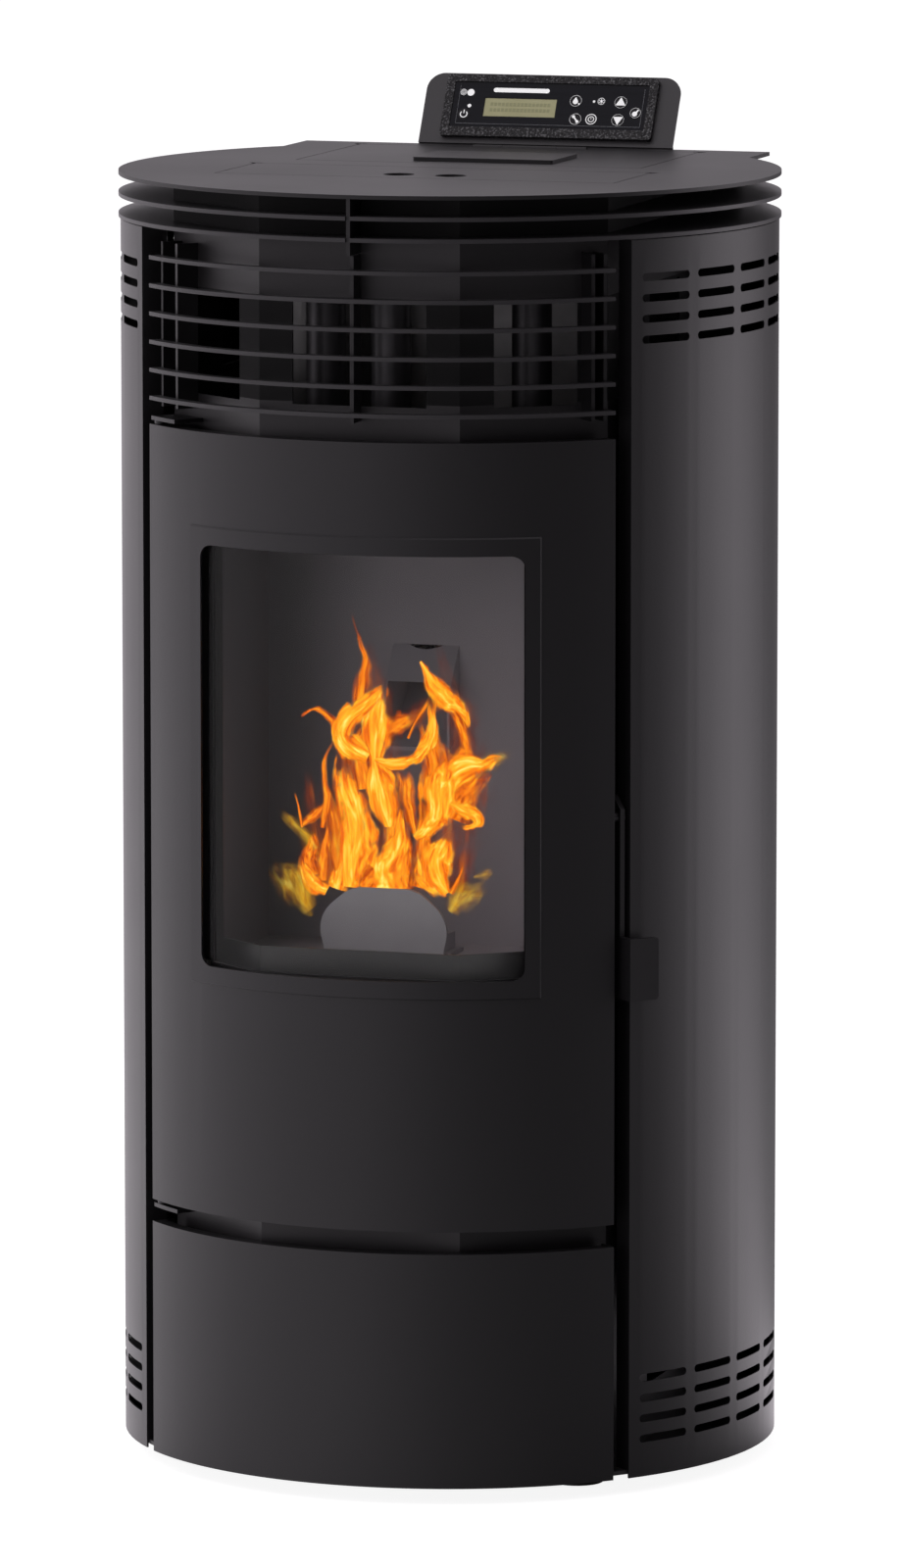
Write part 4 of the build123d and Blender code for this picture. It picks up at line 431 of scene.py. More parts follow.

# ---------------------------------------------------------------- fire chamber and tubes
# Welded plate, patchily sooty, with painted shade and light across it: darker towards the
# left and paler towards the right, for how the light through the glass falls inside; the
# exchanger tubes pass through its top behind the grille.
soot_and_shade_plate, nodes, links, shader, coords = new_material("sooty_plate_with_painted_shade")
soot = noise(nodes, links, coords.outputs["Object"], 9, 4)
ash = noise(nodes, links, coords.outputs["Object"], 70, 4)
across = nodes.new("ShaderNodeSeparateXYZ")
links.new(coords.outputs["Object"], across.inputs[0])
# Painted shade and light: the colour runs from dark at the left to pale at the right.
painted_light_across = nodes.new("ShaderNodeMapRange")
painted_light_across.interpolation_type = "SMOOTHSTEP"
painted_shade_until, painted_light_from = -0.13, -0.015
painted_light_across.inputs["From Min"].default_value = painted_shade_until
painted_light_across.inputs["From Max"].default_value = painted_light_from
links.new(across.outputs["X"], painted_light_across.inputs["Value"])
uneven = spread(nodes, links, soot, 0.7, 1.15)
soot_and_painted_light = calculate(nodes, links, "MULTIPLY", painted_light_across.outputs[0], uneven)
links.new(tint(nodes, links, soot_and_painted_light, (0.14, 0.135, 0.14), (0.57, 0.55, 0.57)),
          shader.inputs["Base Color"])
links.new(spread(nodes, links, ash, 0.6, 0.9), shader.inputs["Roughness"])
raise_grain(nodes, links, shader, ash, 0.1, 0.0001)
give(soot_and_shade_plate, "firebox", "auger_tube")
tube_steel = bare_metal("tube_steel", (0.11, 0.108, 0.112), 0.42, 0.3, 30, metallic=0.6)
give(tube_steel, "exchanger_tubes")

# ---------------------------------------------------------------- burn pot
# A lift-out box of stainless plate with a shield in front, dulled by heat, and the igniter
# that reaches into its back.
pot_steel = bare_metal("pot_steel", (0.47, 0.455, 0.47), 0.55, 0.12, 40, metallic=0.2)
give(pot_steel, "burn_pot")
igniter_skin = bare_metal("igniter_skin", (0.42, 0.36, 0.3), 0.4, 0.5, 90)
give(igniter_skin, "igniter")


# ---------------------------------------------------------------- pellets
# Short sticks of pressed sawdust, 6 mm thick, charred and glowing.  They lie in the burn
# pot as they fell, in a heap that narrows a little to its top.
def new_piece(name, bm, material, body):
    """Make a bmesh into a piece that rides on a body."""
    mesh = bpy.data.meshes.new(name)
    bm.to_mesh(mesh)
    bm.free()
    mesh.materials.append(material)
    piece = bpy.data.objects.new(name, mesh)
    scene.collection.objects.link(piece)
    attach(piece, body)


pot_low, pot_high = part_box("burn_pot")
pot_middle_y = (pot_low.y + pot_high.y) / 2
pellet_radius, pellet_length = 0.003, 0.013
layer_count, layer_pellets, layer_height, lowest_layer = 5, 26, 0.0062, 0.0085
heap_half_width, heap_half_depth, heap_taper = 0.024, 0.022, 0.1
pellet_tilt, height_scatter = 0.35, 0.0015
heap = bmesh.new()
throw = random.Random(4)
for layer in range(layer_count):
    for _ in range(layer_pellets):
        made = bmesh.ops.create_cone(heap, cap_ends=True, segments=8, radius1=pellet_radius,
                                     radius2=pellet_radius, depth=pellet_length)["verts"]
        lie = Matrix.Rotation(throw.uniform(0, math.tau), 4, "Z")
        tilt = throw.uniform(-pellet_tilt, pellet_tilt)
        lie @= Matrix.Rotation(math.radians(90) + tilt, 4, "X")
        reach = 1 - heap_taper * layer
        x = throw.uniform(-heap_half_width, heap_half_width) * reach
        y = pot_middle_y + throw.uniform(-heap_half_depth, heap_half_depth) * reach
        z = pot_low.z + lowest_layer + layer * layer_height
        z += throw.uniform(-height_scatter, height_scatter)
        bmesh.ops.transform(heap, matrix=Matrix.Translation((x, y, z)) @ lie, verts=made)
ember, nodes, links, shader, coords = new_material("embers")
char = noise(nodes, links, coords.outputs["Object"], 160, 4)
links.new(tint(nodes, links, spread(nodes, links, char, -1.0, 2.0),
               (0.02, 0.016, 0.014), (0.22, 0.13, 0.07)), shader.inputs["Base Color"])
heat = noise(nodes, links, coords.outputs["Object"], 55, 2)
links.new(tint(nodes, links, spread(nodes, links, heat, -1.6, 2.2),
               (0.0, 0.0, 0.0), (1.0, 0.22, 0.02)), shader.inputs["Emission Color"])
shader.inputs["Emission Strength"].default_value = 1.0
shader.inputs["Roughness"].default_value = 0.9
ember.cycles.emission_sampling = "NONE"
new_piece("burning_pellets", heap, ember, "burn_pot_body")

# ---------------------------------------------------------------- side panel shade sheets
# An upright dark strip on edge behind each side panel, between its second and third columns
# of slots: a sheet that stands in for shade, stopping the view from slot to slot so the slots
# stay dark.
shade_sheet_angle, shade_sheet_inner, shade_sheet_outer, shade_sheet_thickness = 76.8, 0.216, 0.2475, 0.0015
shade_sheet_clearance = 0.004
shade_sheets = bmesh.new()
for side, panel in ((-1, "side_panel_left"), (1, "side_panel_right")):
    panel_low, panel_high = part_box(panel)
    strip = bmesh.ops.create_cube(shade_sheets, size=1)["verts"]
    turn = Matrix.Rotation(math.radians(side * shade_sheet_angle), 4, "Z")
    middle_z = (panel_low.z + panel_high.z) / 2
    place = Matrix.Translation((0, axis_y, middle_z)) @ turn
    place @= Matrix.Translation((0, -(shade_sheet_inner + shade_sheet_outer) / 2, 0))
    shade_sheet_height = panel_high.z - panel_low.z - shade_sheet_clearance
    size = Matrix.Diagonal((shade_sheet_thickness, shade_sheet_outer - shade_sheet_inner, shade_sheet_height, 1))
    bmesh.ops.transform(shade_sheets, matrix=place @ size, verts=strip)
new_piece("slot_shade_sheets", shade_sheets, anthracite, "stove_body")

# ---------------------------------------------------------------- flames
# Tongues of fire over the burn pot.  Each is a thin bowed ribbon drawn along its middle
# line, brightest in its core, ragged and clear at its edges.

# A tongue's depth from the stove's axis, negative towards the glass, then its middle line:
# across, height and half width at each point.  All are in millimetres.
TONGUES = {
    "flame_core": [
        (-128, [(-38, 447, 8), (-36, 468, 11), (-32, 488, 14), (-36, 507, 12), (-42, 525, 9),
                (-46, 551, 2)]),
        (-122, [(-10, 493, 4), (-12, 509, 11), (-17, 527, 10), (-20, 543, 5), (-20, 559, 10),
                (-19, 573, 11), (-17, 587, 8), (-13, 598, 3), (-12, 607, 1)]),
        (-134, [(-22, 547, 4), (-35, 554, 9), (-42, 563, 8), (-38, 575, 8), (-27, 585, 7),
                (-16, 594, 5), (-6, 603, 1)]),
        (-136, [(-16, 546, 2), (-3, 543, 4), (12, 546, 4), (22, 554, 5), (28, 563, 5),
                (30, 574, 4), (29, 586, 3), (31, 597, 2)]),
        (-124, [(16, 620, 1), (22, 611, 4), (28, 601, 8), (36, 593, 9), (45, 587, 6),
                (51, 580, 3), (54, 571, 1)]),
        (-138, [(16, 488, 3), (28, 498, 8), (36, 511, 11), (37, 525, 15), (46, 538, 13),
                (58, 544, 11), (69, 545, 6), (78, 550, 3), (86, 551, 1)]),
        (-142, [(45, 516, 1), (54, 511, 5), (64, 508, 5), (67, 502, 4), (59, 498, 2),
                (50, 499, 1)]),
        (-133, [(40, 446, 4), (34, 458, 10), (32, 471, 11), (38, 482, 7), (43, 493, 1)]),
        (-130, [(-8, 447, 15), (-8, 464, 13), (-1, 478, 8), (2, 493, 4), (3, 509, 1)]),
        (-136, [(-54, 444, 4), (-63, 449, 8), (-70, 456, 5), (-75, 467, 1)]),
        (-126, [(-50, 445, 7), (-47, 455, 6), (-44, 467, 3), (-43, 476, 1)]),
        (-120, [(13, 469, 1), (17, 458, 7), (27, 451, 8), (39, 447, 5)]),
    ],
    "flame_edge": [
        (-113, [(-46, 446, 10), (-50, 468, 11), (-52, 488, 8), (-58, 506, 4), (-62, 522, 1)]),
        (-111, [(16, 446, 12), (18, 462, 11), (14, 480, 8), (16, 500, 5), (12, 520, 1)]),
        (-114, [(40, 500, 9), (48, 520, 12), (58, 532, 9), (68, 538, 3)]),
        (-112, [(-30, 520, 10), (-34, 545, 10), (-30, 562, 9), (-20, 578, 6), (-12, 590, 1)]),
        (-112, [(20, 498, 8), (25, 518, 11), (24, 542, 10), (18, 562, 6), (10, 578, 1)]),
        (-115, [(-8, 470, 8), (-6, 492, 10), (-12, 515, 8), (-14, 536, 5), (-10, 552, 1)]),
        (-118, [(-33, 583, 6), (-32, 597, 6), (-31, 608, 5), (-29, 620, 3), (-33, 630, 2),
                (-35, 639, 1)]),
        (-126, [(-47, 568, 5), (-54, 574, 3), (-63, 580, 3), (-70, 580, 1), (-79, 574, 1)]),
        (-116, [(-22, 558, 3), (-10, 567, 7), (2, 573, 7), (13, 581, 2)]),
        (-130, [(8, 562, 1), (14, 575, 1), (22, 587, 2), (27, 597, 1)]),
        (-127, [(54, 540, 8), (54, 555, 5), (51, 567, 4), (46, 579, 3), (39, 587, 3)]),
        (-119, [(10, 488, 2), (8, 503, 6), (5, 516, 7), (4, 528, 7), (0, 538, 5)]),
        (-121, [(25, 465, 6), (22, 476, 4), (19, 486, 1)]),
        (-140, [(45, 447, 2), (49, 455, 2), (53, 464, 1), (55, 472, 1)]),
        (-117, [(-24, 445, 8), (-31, 459, 5), (-33, 470, 1)]),
        (-125, [(5, 447, 6), (5, 465, 6), (6, 478, 4), (6, 492, 2)]),
        (-135, [(-57, 452, 6), (-57, 468, 6), (-56, 479, 4), (-54, 491, 2), (-55, 507, 1)]),
        (-129, [(-60, 491, 2), (-56, 513, 4), (-58, 524, 3), (-59, 538, 2), (-56, 549, 1),
                (-49, 559, 1)]),
        (-139, [(-73, 492, 1), (-75, 504, 1), (-77, 513, 1), (-81, 523, 1)]),
        (-123, [(-79, 491, 1), (-70, 498, 4), (-62, 505, 3), (-57, 513, 2), (-52, 524, 1)]),
        (-131, [(-68, 455, 9), (-70, 467, 7), (-67, 478, 5), (-68, 487, 2)]),
        (-132, [(-26, 447, 7), (-17, 458, 7), (-10, 467, 3), (-5, 479, 1)]),
    ],
    "flame_haze": [
        (-131, [(42, 432, 5), (47, 440, 9), (49, 449, 5), (52, 456, 1)]),
        (-145, [(-63, 426, 3), (-69, 438, 10), (-73, 452, 12), (-81, 460, 6), (-97, 463, 1)]),
        (-143, [(-60, 477, 4), (-66, 486, 4), (-74, 493, 3), (-82, 500, 2), (-90, 506, 1)]),
        (-137, [(62, 460, 1), (69, 462, 4), (78, 466, 2)]),
        (-141, [(-64, 431, 6), (-72, 441, 14), (-84, 453, 12), (-98, 464, 4)]),
        (-139, [(44, 434, 4), (52, 441, 11), (62, 448, 9), (74, 455, 3)]),
        (-127, [(64, 544, 6), (74, 548, 7), (83, 551, 5), (90, 552, 1)]),
        (-129, [(-64, 470, 6), (-72, 482, 7), (-84, 494, 5), (-97, 503, 1)]),
    ],
    "flame_veil": [
        (-108, [(-44, 444, 25), (-46, 470, 25), (-48, 500, 20), (-46, 530, 14), (-44, 556, 8),
                (-48, 580, 2)]),
        (-106, [(-12, 444, 26), (-8, 475, 25), (-12, 515, 22), (-18, 550, 19), (-22, 584, 13),
                (-30, 622, 6), (-36, 660, 2)]),
        (-104, [(28, 444, 26), (32, 475, 23), (40, 510, 24), (46, 545, 18), (42, 580, 13),
                (30, 610, 5), (22, 636, 1)]),
        (-112, [(-62, 444, 14), (-66, 470, 14), (-72, 496, 9), (-76, 520, 4), (-78, 540, 1)]),
        (-110, [(44, 444, 8), (46, 470, 7), (50, 500, 9), (54, 530, 8), (54, 552, 2)]),
        (-117, [(-34, 634, 2), (-38, 644, 1), (-41, 655, 1)]),
        (-102, [(-20, 560, 5), (0, 572, 9), (18, 584, 8), (34, 592, 3)]),
    ],
}
RIBBON_STEPS, RIBBON_ACROSS = 28, 6
RIBBON_WIDENING, RIBBON_BOW, RIBBON_LEAST = 1.4, 0.45, 0.6


def along(points, share):
    """A point on the smooth curve through a list of (x, z, half width)."""
    place = share * (len(points) - 1)
    first = min(int(place), len(points) - 2)
    t = place - first
    p0, p1 = Vector(points[max(first - 1, 0)]), Vector(points[first])
    p2, p3 = Vector(points[first + 1]), Vector(points[min(first + 2, len(points) - 1)])
    return 0.5 * (2 * p1 + (p2 - p0) * t + (2 * p0 - 5 * p1 + 4 * p2 - p3) * t * t
                  + (3 * p1 - p0 - 3 * p2 + p3) * t ** 3)


def flame_tongue(bm, uv, depth, points):
    """One ribbon: a grid whose columns follow the middle line, bowed towards the glass."""
    grid = bmesh.ops.create_grid(bm, x_segments=RIBBON_ACROSS, y_segments=RIBBON_STEPS,
                                 size=0.5)["verts"]
    for vert in grid:
        across, share = vert.co.x * 2, vert.co.y + 0.5
        here = along(points, share)
        ahead = along(points, min(share + 0.02, 1)) - along(points, max(share - 0.02, 0))
        side = Vector((ahead.y, -ahead.x)).normalized()
        half_width = max(here.z, RIBBON_LEAST)
        x, z = Vector((here.x, here.y)) + side * across * half_width * RIBBON_WIDENING
        bow = RIBBON_BOW * here.z * (1 - across * across)
        for loop in vert.link_loops:
            loop[uv].uv = (across * 0.5 + 0.5, share)
        vert.co = (x / 1000, axis_y + (depth - bow) / 1000, z / 1000)


HEAT_STOPS = (0.08, 0.34, 0.62, 0.9)
BODY_HEAT, STREAK_HEAT, COOLING = 0.35, 2.2, 0.88
TIP_FADE, RAGGEDNESS, STREAK_DRIFT, CLEAR_BELOW = 2.6, 1.5, 9.0, 0.12


def flame_material(name, colours, solid, strength):
    """Glowing gas, from its edge's colour to its core's, clear where it ends."""
    material, nodes, links, shader, coords = new_material(name)
    uv_map = nodes.new("ShaderNodeUVMap")
    uv_map.uv_map = "UVMap"
    parts = nodes.new("ShaderNodeSeparateXYZ")
    links.new(uv_map.outputs[0], parts.inputs[0])

    def work(operation, first, second):
        """One step of this material's arithmetic."""
        return calculate(nodes, links, operation, first, second)

    stretch = nodes.new("ShaderNodeMapping")
    stretch.inputs["Scale"].default_value = (1, 1, 0.45)
    links.new(coords.outputs["Object"], stretch.inputs["Vector"])
    wisps = noise(nodes, links, stretch.outputs["Vector"], 110, 3)
    drawn = nodes.new("ShaderNodeMapping")
    drawn.inputs["Scale"].default_value = (2.6, 1.1, 1)
    links.new(uv_map.outputs[0], drawn.inputs["Vector"])
    streaks = nodes.new("ShaderNodeTexNoise")
    streaks.noise_dimensions = "4D"
    streaks.inputs["Scale"].default_value = 2.2
    streaks.inputs["Detail"].default_value = 3
    streaks.inputs["Distortion"].default_value = 1.2
    links.new(drawn.outputs["Vector"], streaks.inputs["Vector"])
    drift = noise(nodes, links, stretch.outputs["Vector"], 14, 0)
    links.new(work("MULTIPLY", drift, STREAK_DRIFT), streaks.inputs["W"])
    off_centre = work("ABSOLUTE", work("SUBTRACT", parts.outputs["X"], 0.5), 0.0)
    inward = work("SUBTRACT", 1.0, work("MULTIPLY", off_centre, 2.0))
    end = work("MULTIPLY", work("SUBTRACT", 1.0, parts.outputs["Y"]), TIP_FADE)
    body = work("MINIMUM", inward, end)
    fringe = work("MULTIPLY", work("SUBTRACT", wisps, 0.5), RAGGEDNESS)
    ragged = work("ADD", body, fringe)
    fade = nodes.new("ShaderNodeMapRange")
    fade.interpolation_type = "SMOOTHSTEP"
    fade.inputs["From Min"].default_value = CLEAR_BELOW
    fade.inputs["From Max"].default_value = solid
    links.new(ragged, fade.inputs["Value"])
    links.new(fade.outputs[0], shader.inputs["Alpha"])
    heat = work("ADD", work("MULTIPLY", body, BODY_HEAT),
                work("MULTIPLY", streaks.outputs["Fac"], STREAK_HEAT))
    heat = work("SUBTRACT", heat, COOLING)
    ramp = nodes.new("ShaderNodeValToRGB")
    for place, colour in zip(HEAT_STOPS, colours):
        stop = ramp.color_ramp.elements.new(place)
        stop.color = (*colour, 1)
    ramp.color_ramp.elements.remove(ramp.color_ramp.elements[-1])
    ramp.color_ramp.elements.remove(ramp.color_ramp.elements[0])
    links.new(heat, ramp.inputs["Fac"])
    links.new(ramp.outputs["Color"], shader.inputs["Emission Color"])
    shader.inputs["Emission Strength"].default_value = strength
    shader.inputs["Base Color"].default_value = (0, 0, 0, 1)
    shader.inputs["Specular IOR Level"].default_value = 0.0
    clear = nodes.new("ShaderNodeBsdfTransparent")
    lighting = light_path_sum(nodes, links, "Is Diffuse Ray")
    seen = blend_shaders(nodes, links, lighting, shader, clear)
    links.new(seen.outputs[0], nodes["Material Output"].inputs["Surface"])
    material.cycles.emission_sampling = "NONE"
    return material


DULL_RED, EMBER_RED, DEEP_ORANGE = (0.2, 0.02, 0.001), (0.35, 0.035, 0.002), (0.72, 0.12, 0.004)
ORANGE, AMBER, PALE_YELLOW = (1.0, 0.27, 0.008), (1.0, 0.47, 0.025), (1.0, 0.78, 0.17)
SMOKY_YELLOWS = ((0.3, 0.09, 0.003), (0.6, 0.26, 0.008), (0.85, 0.48, 0.02), (0.95, 0.7, 0.1))
FLAME_LOOKS = {
    "flame_core": ((DEEP_ORANGE, ORANGE, AMBER, PALE_YELLOW), 0.5, 1.3),
    "flame_edge": ((EMBER_RED, DEEP_ORANGE, ORANGE, AMBER), 0.75, 1.15),
    "flame_haze": (SMOKY_YELLOWS, 1.9, 1.2),
    "flame_veil": ((DULL_RED, EMBER_RED, DEEP_ORANGE, ORANGE), 1.9, 0.75),
}
for name, tongues in TONGUES.items():
    ribbons = bmesh.new()
    uv = ribbons.loops.layers.uv.new("UVMap")
    for depth, points in tongues:
        flame_tongue(ribbons, uv, depth, points)
    look = flame_material(name, *FLAME_LOOKS[name])
    new_piece(name, ribbons, look, "burn_pot_body")

# ---------------------------------------------------------------- door glass
# Curved ceramic glass, slightly grey and faintly smeared, held against the back of the door
# by clips; light falls through it on the fire chamber.
glass, nodes, links, shader, coords = new_material("door_glass")
shader.inputs["Base Color"].default_value = (0.9, 0.895, 0.89, 1)
shader.inputs["Transmission Weight"].default_value = 1.0
shader.inputs["IOR"].default_value = 1.15
smears = noise(nodes, links, coords.outputs["Object"], 9, 4)
links.new(spread(nodes, links, smears, 0.0, 0.07), shader.inputs["Roughness"])
clear = nodes.new("ShaderNodeBsdfTransparent")
clear.inputs["Color"].default_value = (0.95, 0.95, 0.95, 1)
lighting = light_path_sum(nodes, links, "Is Shadow Ray", "Is Diffuse Ray")
shown = blend_shaders(nodes, links, lighting, shader, clear)
links.new(shown.outputs[0], nodes["Material Output"].inputs["Surface"])
give(glass, "window_glass")

# ---------------------------------------------------------------- door seals
# Braided glass-fibre rope round the fire opening, and a flat woven tape between the glass
# and the door skin.  Both are dark grey and move with the door.
rope, nodes, links, shader, coords = new_material("woven_rope")
braid = nodes.new("ShaderNodeTexWave")
braid.wave_type = "BANDS"
braid.bands_direction = "DIAGONAL"
braid.inputs["Scale"].default_value = 160
braid.inputs["Distortion"].default_value = 2.5
links.new(coords.outputs["Object"], braid.inputs["Vector"])
fluff = noise(nodes, links, coords.outputs["Object"], 900, 3)
links.new(tint(nodes, links, braid.outputs["Fac"], (0.02, 0.02, 0.021), (0.06, 0.06, 0.062)),
          shader.inputs["Base Color"])
links.new(spread(nodes, links, fluff, 0.75, 1.0), shader.inputs["Roughness"])
raise_grain(nodes, links, shader, braid.outputs["Fac"], 1.0, 0.0008)
give(rope, "door_seals")


# ---------------------------------------------------------------- feet
# Levelling feet: moulded rubber pads, faintly dusty, on studs that pass through the base
# plate.
def moulded(name, dark, light, roughness, pebble, depth):
    """Moulded plastic or rubber, with a pebble grain of the size and depth given."""
    material, nodes, links, shader, coords = new_material(name)
    pebbles = nodes.new("ShaderNodeTexVoronoi")
    pebbles.inputs["Scale"].default_value = pebble
    links.new(coords.outputs["Object"], pebbles.inputs["Vector"])
    dust = noise(nodes, links, coords.outputs["Object"], 40, 4)
    links.new(tint(nodes, links, dust, dark, light), shader.inputs["Base Color"])
    links.new(spread(nodes, links, dust, roughness - 0.06, roughness + 0.06),
              shader.inputs["Roughness"])
    raise_grain(nodes, links, shader, pebbles.outputs["Distance"], 0.8, depth)
    return material


rubber = moulded("foot_rubber", (0.018, 0.018, 0.018), (0.035, 0.034, 0.033), 0.8, 500, 0.0001)
give(rubber, "rubber_feet")

# ---------------------------------------------------------------- motors and bushes
# Die-cast motors and gearboxes, grey from the mould, and bushes of oil-soaked sintered
# bronze for the auger's shaft.
cast, nodes, links, shader, coords = new_material("die_casting")
sand = noise(nodes, links, coords.outputs["Object"], 700, 3)
patch = noise(nodes, links, coords.outputs["Object"], 30, 3)
links.new(tint(nodes, links, patch, (0.33, 0.34, 0.35), (0.48, 0.49, 0.5)),
          shader.inputs["Base Color"])
links.new(spread(nodes, links, sand, 0.42, 0.62), shader.inputs["Roughness"])
shader.inputs["Metallic"].default_value = 0.9
raise_grain(nodes, links, shader, sand, 0.5, 0.0001)
give(cast, "auger_motor", "fan_motor", "blower_motor")
bronze = bare_metal("sintered_bronze", (0.5, 0.34, 0.13), 0.38, 0.3, 120)
give(bronze, "auger_bushes")

# ---------------------------------------------------------------- electrics
# The mains inlet with its rocker, which snap into the rear panel, and the case of the power
# board, screwed to a frame wall inside: all of them fine black mouldings.
moulding = moulded("black_moulding", (0.016, 0.016, 0.017), (0.026, 0.026, 0.027),
                   0.45, 1500, 0.00005)
give(moulding, "mains_inlet", "control_board")
rocker_skin = moulded("rocker_moulding", (0.02, 0.02, 0.02), (0.03, 0.03, 0.03),
                      0.25, 2500, 0.00002)
give(rocker_skin, "mains_switch")

# ---------------------------------------------------------------- control panel
# A deep-grained black frame, with pale specks painted into its colour as painted glints of
# its grain, round a glossy printed film; the keys are domes in the film and the display is a
# grey-green reflective one.
frame_grain = 620
grained = moulded("grained_frame", (0.006, 0.006, 0.007), (0.012, 0.012, 0.013),
                  0.3, frame_grain, 0.0007)
nodes, links = grained.node_tree.nodes, grained.node_tree.links
# Painted highlights: pale specks in the base colour stand in for glints on the grain.
painted_glints = noise(nodes, links, nodes["Texture Coordinate"].outputs["Object"], frame_grain, 2)
links.new(tint(nodes, links, spread(nodes, links, painted_glints, -3.7, 3.4),
               (0.004, 0.004, 0.0045), (0.12, 0.12, 0.125)),
          nodes["Principled BSDF"].inputs["Base Color"])
give(grained, "display_housing")


def glossy_film(name, dark, light, coat):
    """Printed film with faint wiping marks."""
    material, nodes, links, shader, coords = new_material(name)
    streak = nodes.new("ShaderNodeMapping")
    streak.inputs["Scale"].default_value = (12, 240, 240)
    links.new(coords.outputs["Object"], streak.inputs["Vector"])
    wiped = noise(nodes, links, streak.outputs["Vector"], 2, 4)
    links.new(tint(nodes, links, wiped, dark, light), shader.inputs["Base Color"])
    links.new(spread(nodes, links, wiped, 0.08, 0.26), shader.inputs["Roughness"])
    shader.inputs["Coat Weight"].default_value = coat
    shader.inputs["Coat Roughness"].default_value = 0.08
    shader.inputs["Specular IOR Level"].default_value = 0.22
    return material


film = glossy_film("glossy_film", (0.002, 0.0025, 0.004), (0.007, 0.008, 0.012), 0.1)
give(film, "display_face")
dome = glossy_film("key_dome", (0.006, 0.006, 0.007), (0.014, 0.014, 0.016), 0.3)
give(dome, "key_power", "key_flame", "key_settings", "key_clock", "key_up", "key_down",
     "key_load")

lcd, nodes, links, shader, coords = new_material("display_cell")
smoky = noise(nodes, links, coords.outputs["Object"], 55, 3)
links.new(tint(nodes, links, smoky, (0.40, 0.39, 0.20), (0.50, 0.485, 0.27)),
          shader.inputs["Base Color"])
links.new(spread(nodes, links, smoky, 0.16, 0.26), shader.inputs["Roughness"])
give(lcd, "lcd_screen")

# ---------------------------------------------------------------- printed marks
# White ink on the film and the key domes: plain signs for fire, fan, settings, clock, up,
# down, feed and power, a blank white pill, and two rows of dim cells on the display.
panel_lean = math.radians(29)
panel_up = Vector((0, math.sin(panel_lean), math.cos(panel_lean)))
panel_out = Vector((0, -math.cos(panel_lean), math.sin(panel_lean)))
face_half_thickness, key_half_thickness, cell_half_thickness = 1.0, 0.8, 2.8
ink_thickness, sunk_share = 0.00008, 0.25


def printing_ink(name, grain, dark, light, roughness):
    """Screen-printed ink: its grains per metre, colours and range of roughness."""
    material, nodes, links, shader, coords = new_material(name)
    print_grain = noise(nodes, links, coords.outputs["Object"], grain, 2)
    links.new(tint(nodes, links, print_grain, dark, light), shader.inputs["Base Color"])
    links.new(spread(nodes, links, print_grain, *roughness), shader.inputs["Roughness"])
    return material


ink = printing_ink("white_ink_painted_glow", 1800, (0.86, 0.87, 0.87), (0.98, 0.98, 0.98), (0.35, 0.55))
glowing_ink_shader = ink.node_tree.nodes["Principled BSDF"]
# Painted light: the white ink also glows faintly, so the print stays bright.
glowing_ink_shader.inputs["Emission Color"].default_value = (0.9, 0.9, 0.9, 1)
glowing_ink_shader.inputs["Emission Strength"].default_value = 0.35
dim_ink = printing_ink("grey_ink", 900, (0.10, 0.105, 0.115), (0.22, 0.225, 0.24), (0.3, 0.5))
cell_ink = printing_ink("dim_cells", 500, (0.27, 0.27, 0.13), (0.36, 0.36, 0.19), (0.3, 0.5))


def mm_move(bm, verts, x, y, turn=0.0):
    """Turn a flat mark, then put it at a place in millimetres."""
    turned = Matrix.Rotation(math.radians(turn), 3, "Z")
    bmesh.ops.rotate(bm, verts=verts, cent=(0, 0, 0), matrix=turned)
    bmesh.ops.translate(bm, verts=verts, vec=(x, y, 0))


def dot(bm, x, y, radius, sides=20, turn=0.0):
    """A filled circle, or a regular figure of few sides."""
    verts = bmesh.ops.create_circle(bm, cap_ends=True, segments=sides, radius=radius)["verts"]
    mm_move(bm, verts, x, y, turn)


def bar(bm, x, y, wide, high, turn=0.0):
    """A filled rectangle."""
    verts = bmesh.ops.create_grid(bm, x_segments=1, y_segments=1, size=0.5)["verts"]
    bmesh.ops.scale(bm, verts=verts, vec=(wide, high, 1))
    mm_move(bm, verts, x, y, turn)


def hoop(bm, x, y, radius, width, sides=36):
    """A ring, measured to its outer edge."""
    outer = bmesh.ops.create_circle(bm, segments=sides, radius=radius)["verts"]
    inner = bmesh.ops.create_circle(bm, segments=sides, radius=radius - width)["verts"]
    edges = {edge for vert in outer + inner for edge in vert.link_edges}
    bmesh.ops.bridge_loops(bm, edges=list(edges))
    mm_move(bm, outer + inner, x, y)
    return outer + inner


def open_hoop(bm, x, y, radius, width, gap):
    """A hoop that is open at the top over the angle given."""
    verts = hoop(bm, x, y, radius, width, 48)
    centre = Vector((x, y, 0))
    up = Vector((0, 1, 0))
    cut = [v for v in verts if (v.co - centre).angle(up) < math.radians(gap / 2)]
    bmesh.ops.delete(bm, geom=cut, context="VERTS")


def teardrop(bm, x, y, radius, high):
    """A circle whose upper half narrows to a tip."""
    verts = bmesh.ops.create_circle(bm, cap_ends=True, segments=24, radius=radius)["verts"]
    for vert in verts:
        if vert.co.y > 0:
            vert.co.x *= 1 - 0.75 * (vert.co.y / radius)
            vert.co.y *= high
    mm_move(bm, verts, x, y)


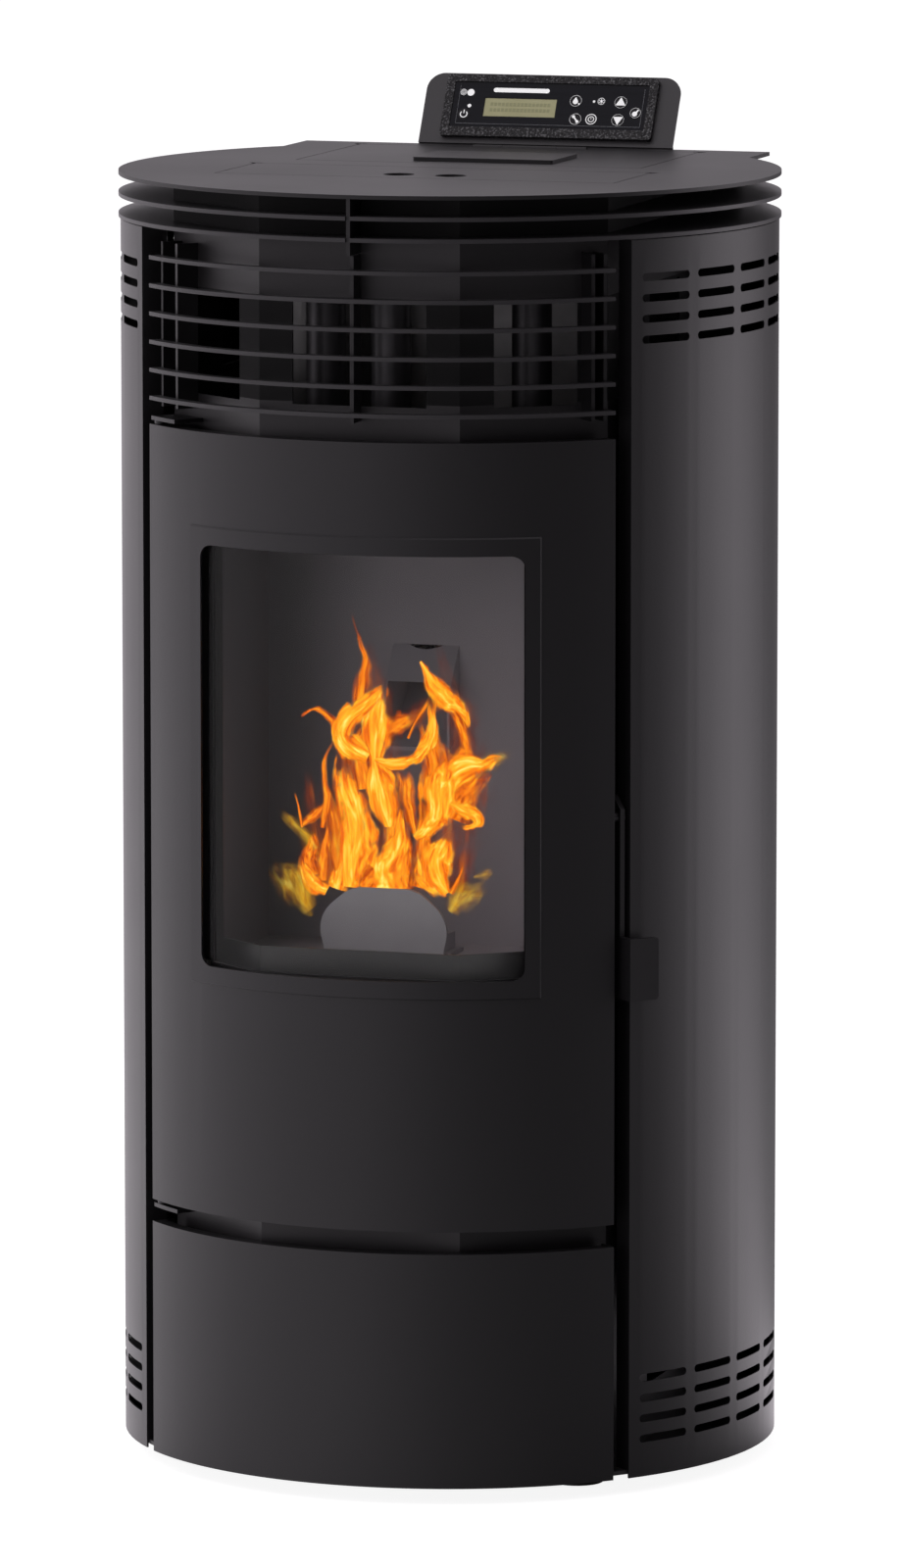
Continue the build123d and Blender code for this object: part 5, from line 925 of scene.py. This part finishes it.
def printed(name, bm, centre, height, material, body):
    """Give flat marks, drawn in millimetres about a node's middle, their ink thickness."""
    raised = bmesh.ops.extrude_face_region(bm, geom=bm.faces[:], use_keep_orig=True)["geom"]
    top = [item for item in raised if isinstance(item, bmesh.types.BMVert)]
    bmesh.ops.translate(bm, verts=top, vec=(0, 0, ink_thickness * 1000))
    bmesh.ops.recalc_face_normals(bm, faces=bm.faces)
    across = Vector((1, 0, 0))
    turn = Matrix((across, panel_up, panel_out)).transposed().to_4x4()
    place = centre + panel_out * (height / 1000 - ink_thickness * sunk_share)
    to_panel = Matrix.Translation(place) @ turn @ Matrix.Scale(0.001, 4)
    bmesh.ops.transform(bm, matrix=to_panel, verts=bm.verts)
    new_piece(name, bm, material, body)


def middle(node):
    """The middle of a node's box."""
    low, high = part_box(node)
    return (low + high) / 2


def key_marks(key, *shapes):
    """Print a sign on a key's dome."""
    marks = bmesh.new()
    for shape in shapes:
        shape(marks)
    printed("mark_" + key, marks, middle(key), key_half_thickness, ink, key + "_cap")


key_marks("key_power",
          lambda m: open_hoop(m, 0, -0.2, 3.1, 0.75, 80),
          lambda m: bar(m, 0, 1.9, 0.75, 3.0))
key_marks("key_flame",
          lambda m: teardrop(m, -0.2, -0.6, 2.2, 1.7),
          lambda m: dot(m, 2.9, -2.6, 0.7),
          lambda m: hoop(m, 0, 0, 4.7, 0.2))
key_marks("key_settings",
          lambda m: bar(m, 0, 0, 1.2, 5.0, 38),
          lambda m: dot(m, -1.7, 2.1, 1.35, 6),
          lambda m: dot(m, 1.7, -2.1, 1.35, 6),
          lambda m: hoop(m, 0, 0, 4.7, 0.2))
key_marks("key_clock",
          lambda m: hoop(m, 0, 0, 4.5, 0.6),
          lambda m: hoop(m, 0, 0, 2.5, 0.6),
          lambda m: bar(m, 0, 0.4, 0.5, 1.4))
key_marks("key_up",
          lambda m: dot(m, 0, -0.3, 4.6, 3, 0),
          lambda m: hoop(m, 0, 0, 4.95, 0.16))
key_marks("key_down",
          lambda m: dot(m, 0, 0.3, 4.6, 3, 60),
          lambda m: hoop(m, 0, 0, 4.95, 0.16))
key_marks("key_load",
          lambda m: dot(m, -0.4, -0.9, 2.1),
          lambda m: bar(m, 1.4, 1.4, 1.2, 3.2, -35),
          lambda m: hoop(m, 0, 0, 4.3, 0.18))

labels = bmesh.new()
pill_left, pill_right, pill_y, pill_high = -45.5, -3.5, 12.8, 3.7
bar(labels, (pill_left + pill_right) / 2, pill_y, pill_right - pill_left, pill_high)
for pill_end in (pill_left, pill_right):
    dot(labels, pill_end, pill_y, pill_high / 2)
for spot_x, spot_y, spot_radius in ((-65.6, 10.2, 2.9), (-65.2, -1.2, 1.5), (35.6, 4.8, 1.0)):
    dot(labels, spot_x, spot_y, spot_radius)
fan_x, fan_y = 41.5, 5.2
for turn in (0, 60, 120):
    bar(labels, fan_x, fan_y, 0.5, 4.4, turn)
hoop(labels, fan_x, fan_y, 2.9, 0.35)
waves_x, waves_y, wave_step = -71.5, 10.4, 0.8
for step in range(3):
    hoop(labels, waves_x, waves_y, 1.0 + step * wave_step, 0.3, 24)
printed("panel_marks", labels, middle("display_face"), face_half_thickness, ink,
        "stove_body")

lines = bmesh.new()
bar(lines, 0.5, -16.3, 150, 0.3)
bar(lines, 75.5, 0, 0.3, 32.6)
bar(lines, -74.5, 0, 0.25, 32.6)
printed("panel_lines", lines, middle("display_face"), face_half_thickness, dim_ink,
        "stove_body")

cells = bmesh.new()
cell_columns, cell_pitch, cell_wide, cell_high = 16, 3.1, 2.3, 2.9
for row_y in (2.6, -2.2):
    for column in range(cell_columns):
        bar(cells, (column - (cell_columns - 1) / 2) * cell_pitch, row_y, cell_wide, cell_high)
printed("display_cells", cells, middle("lcd_screen"), cell_half_thickness, cell_ink,
        "stove_body")
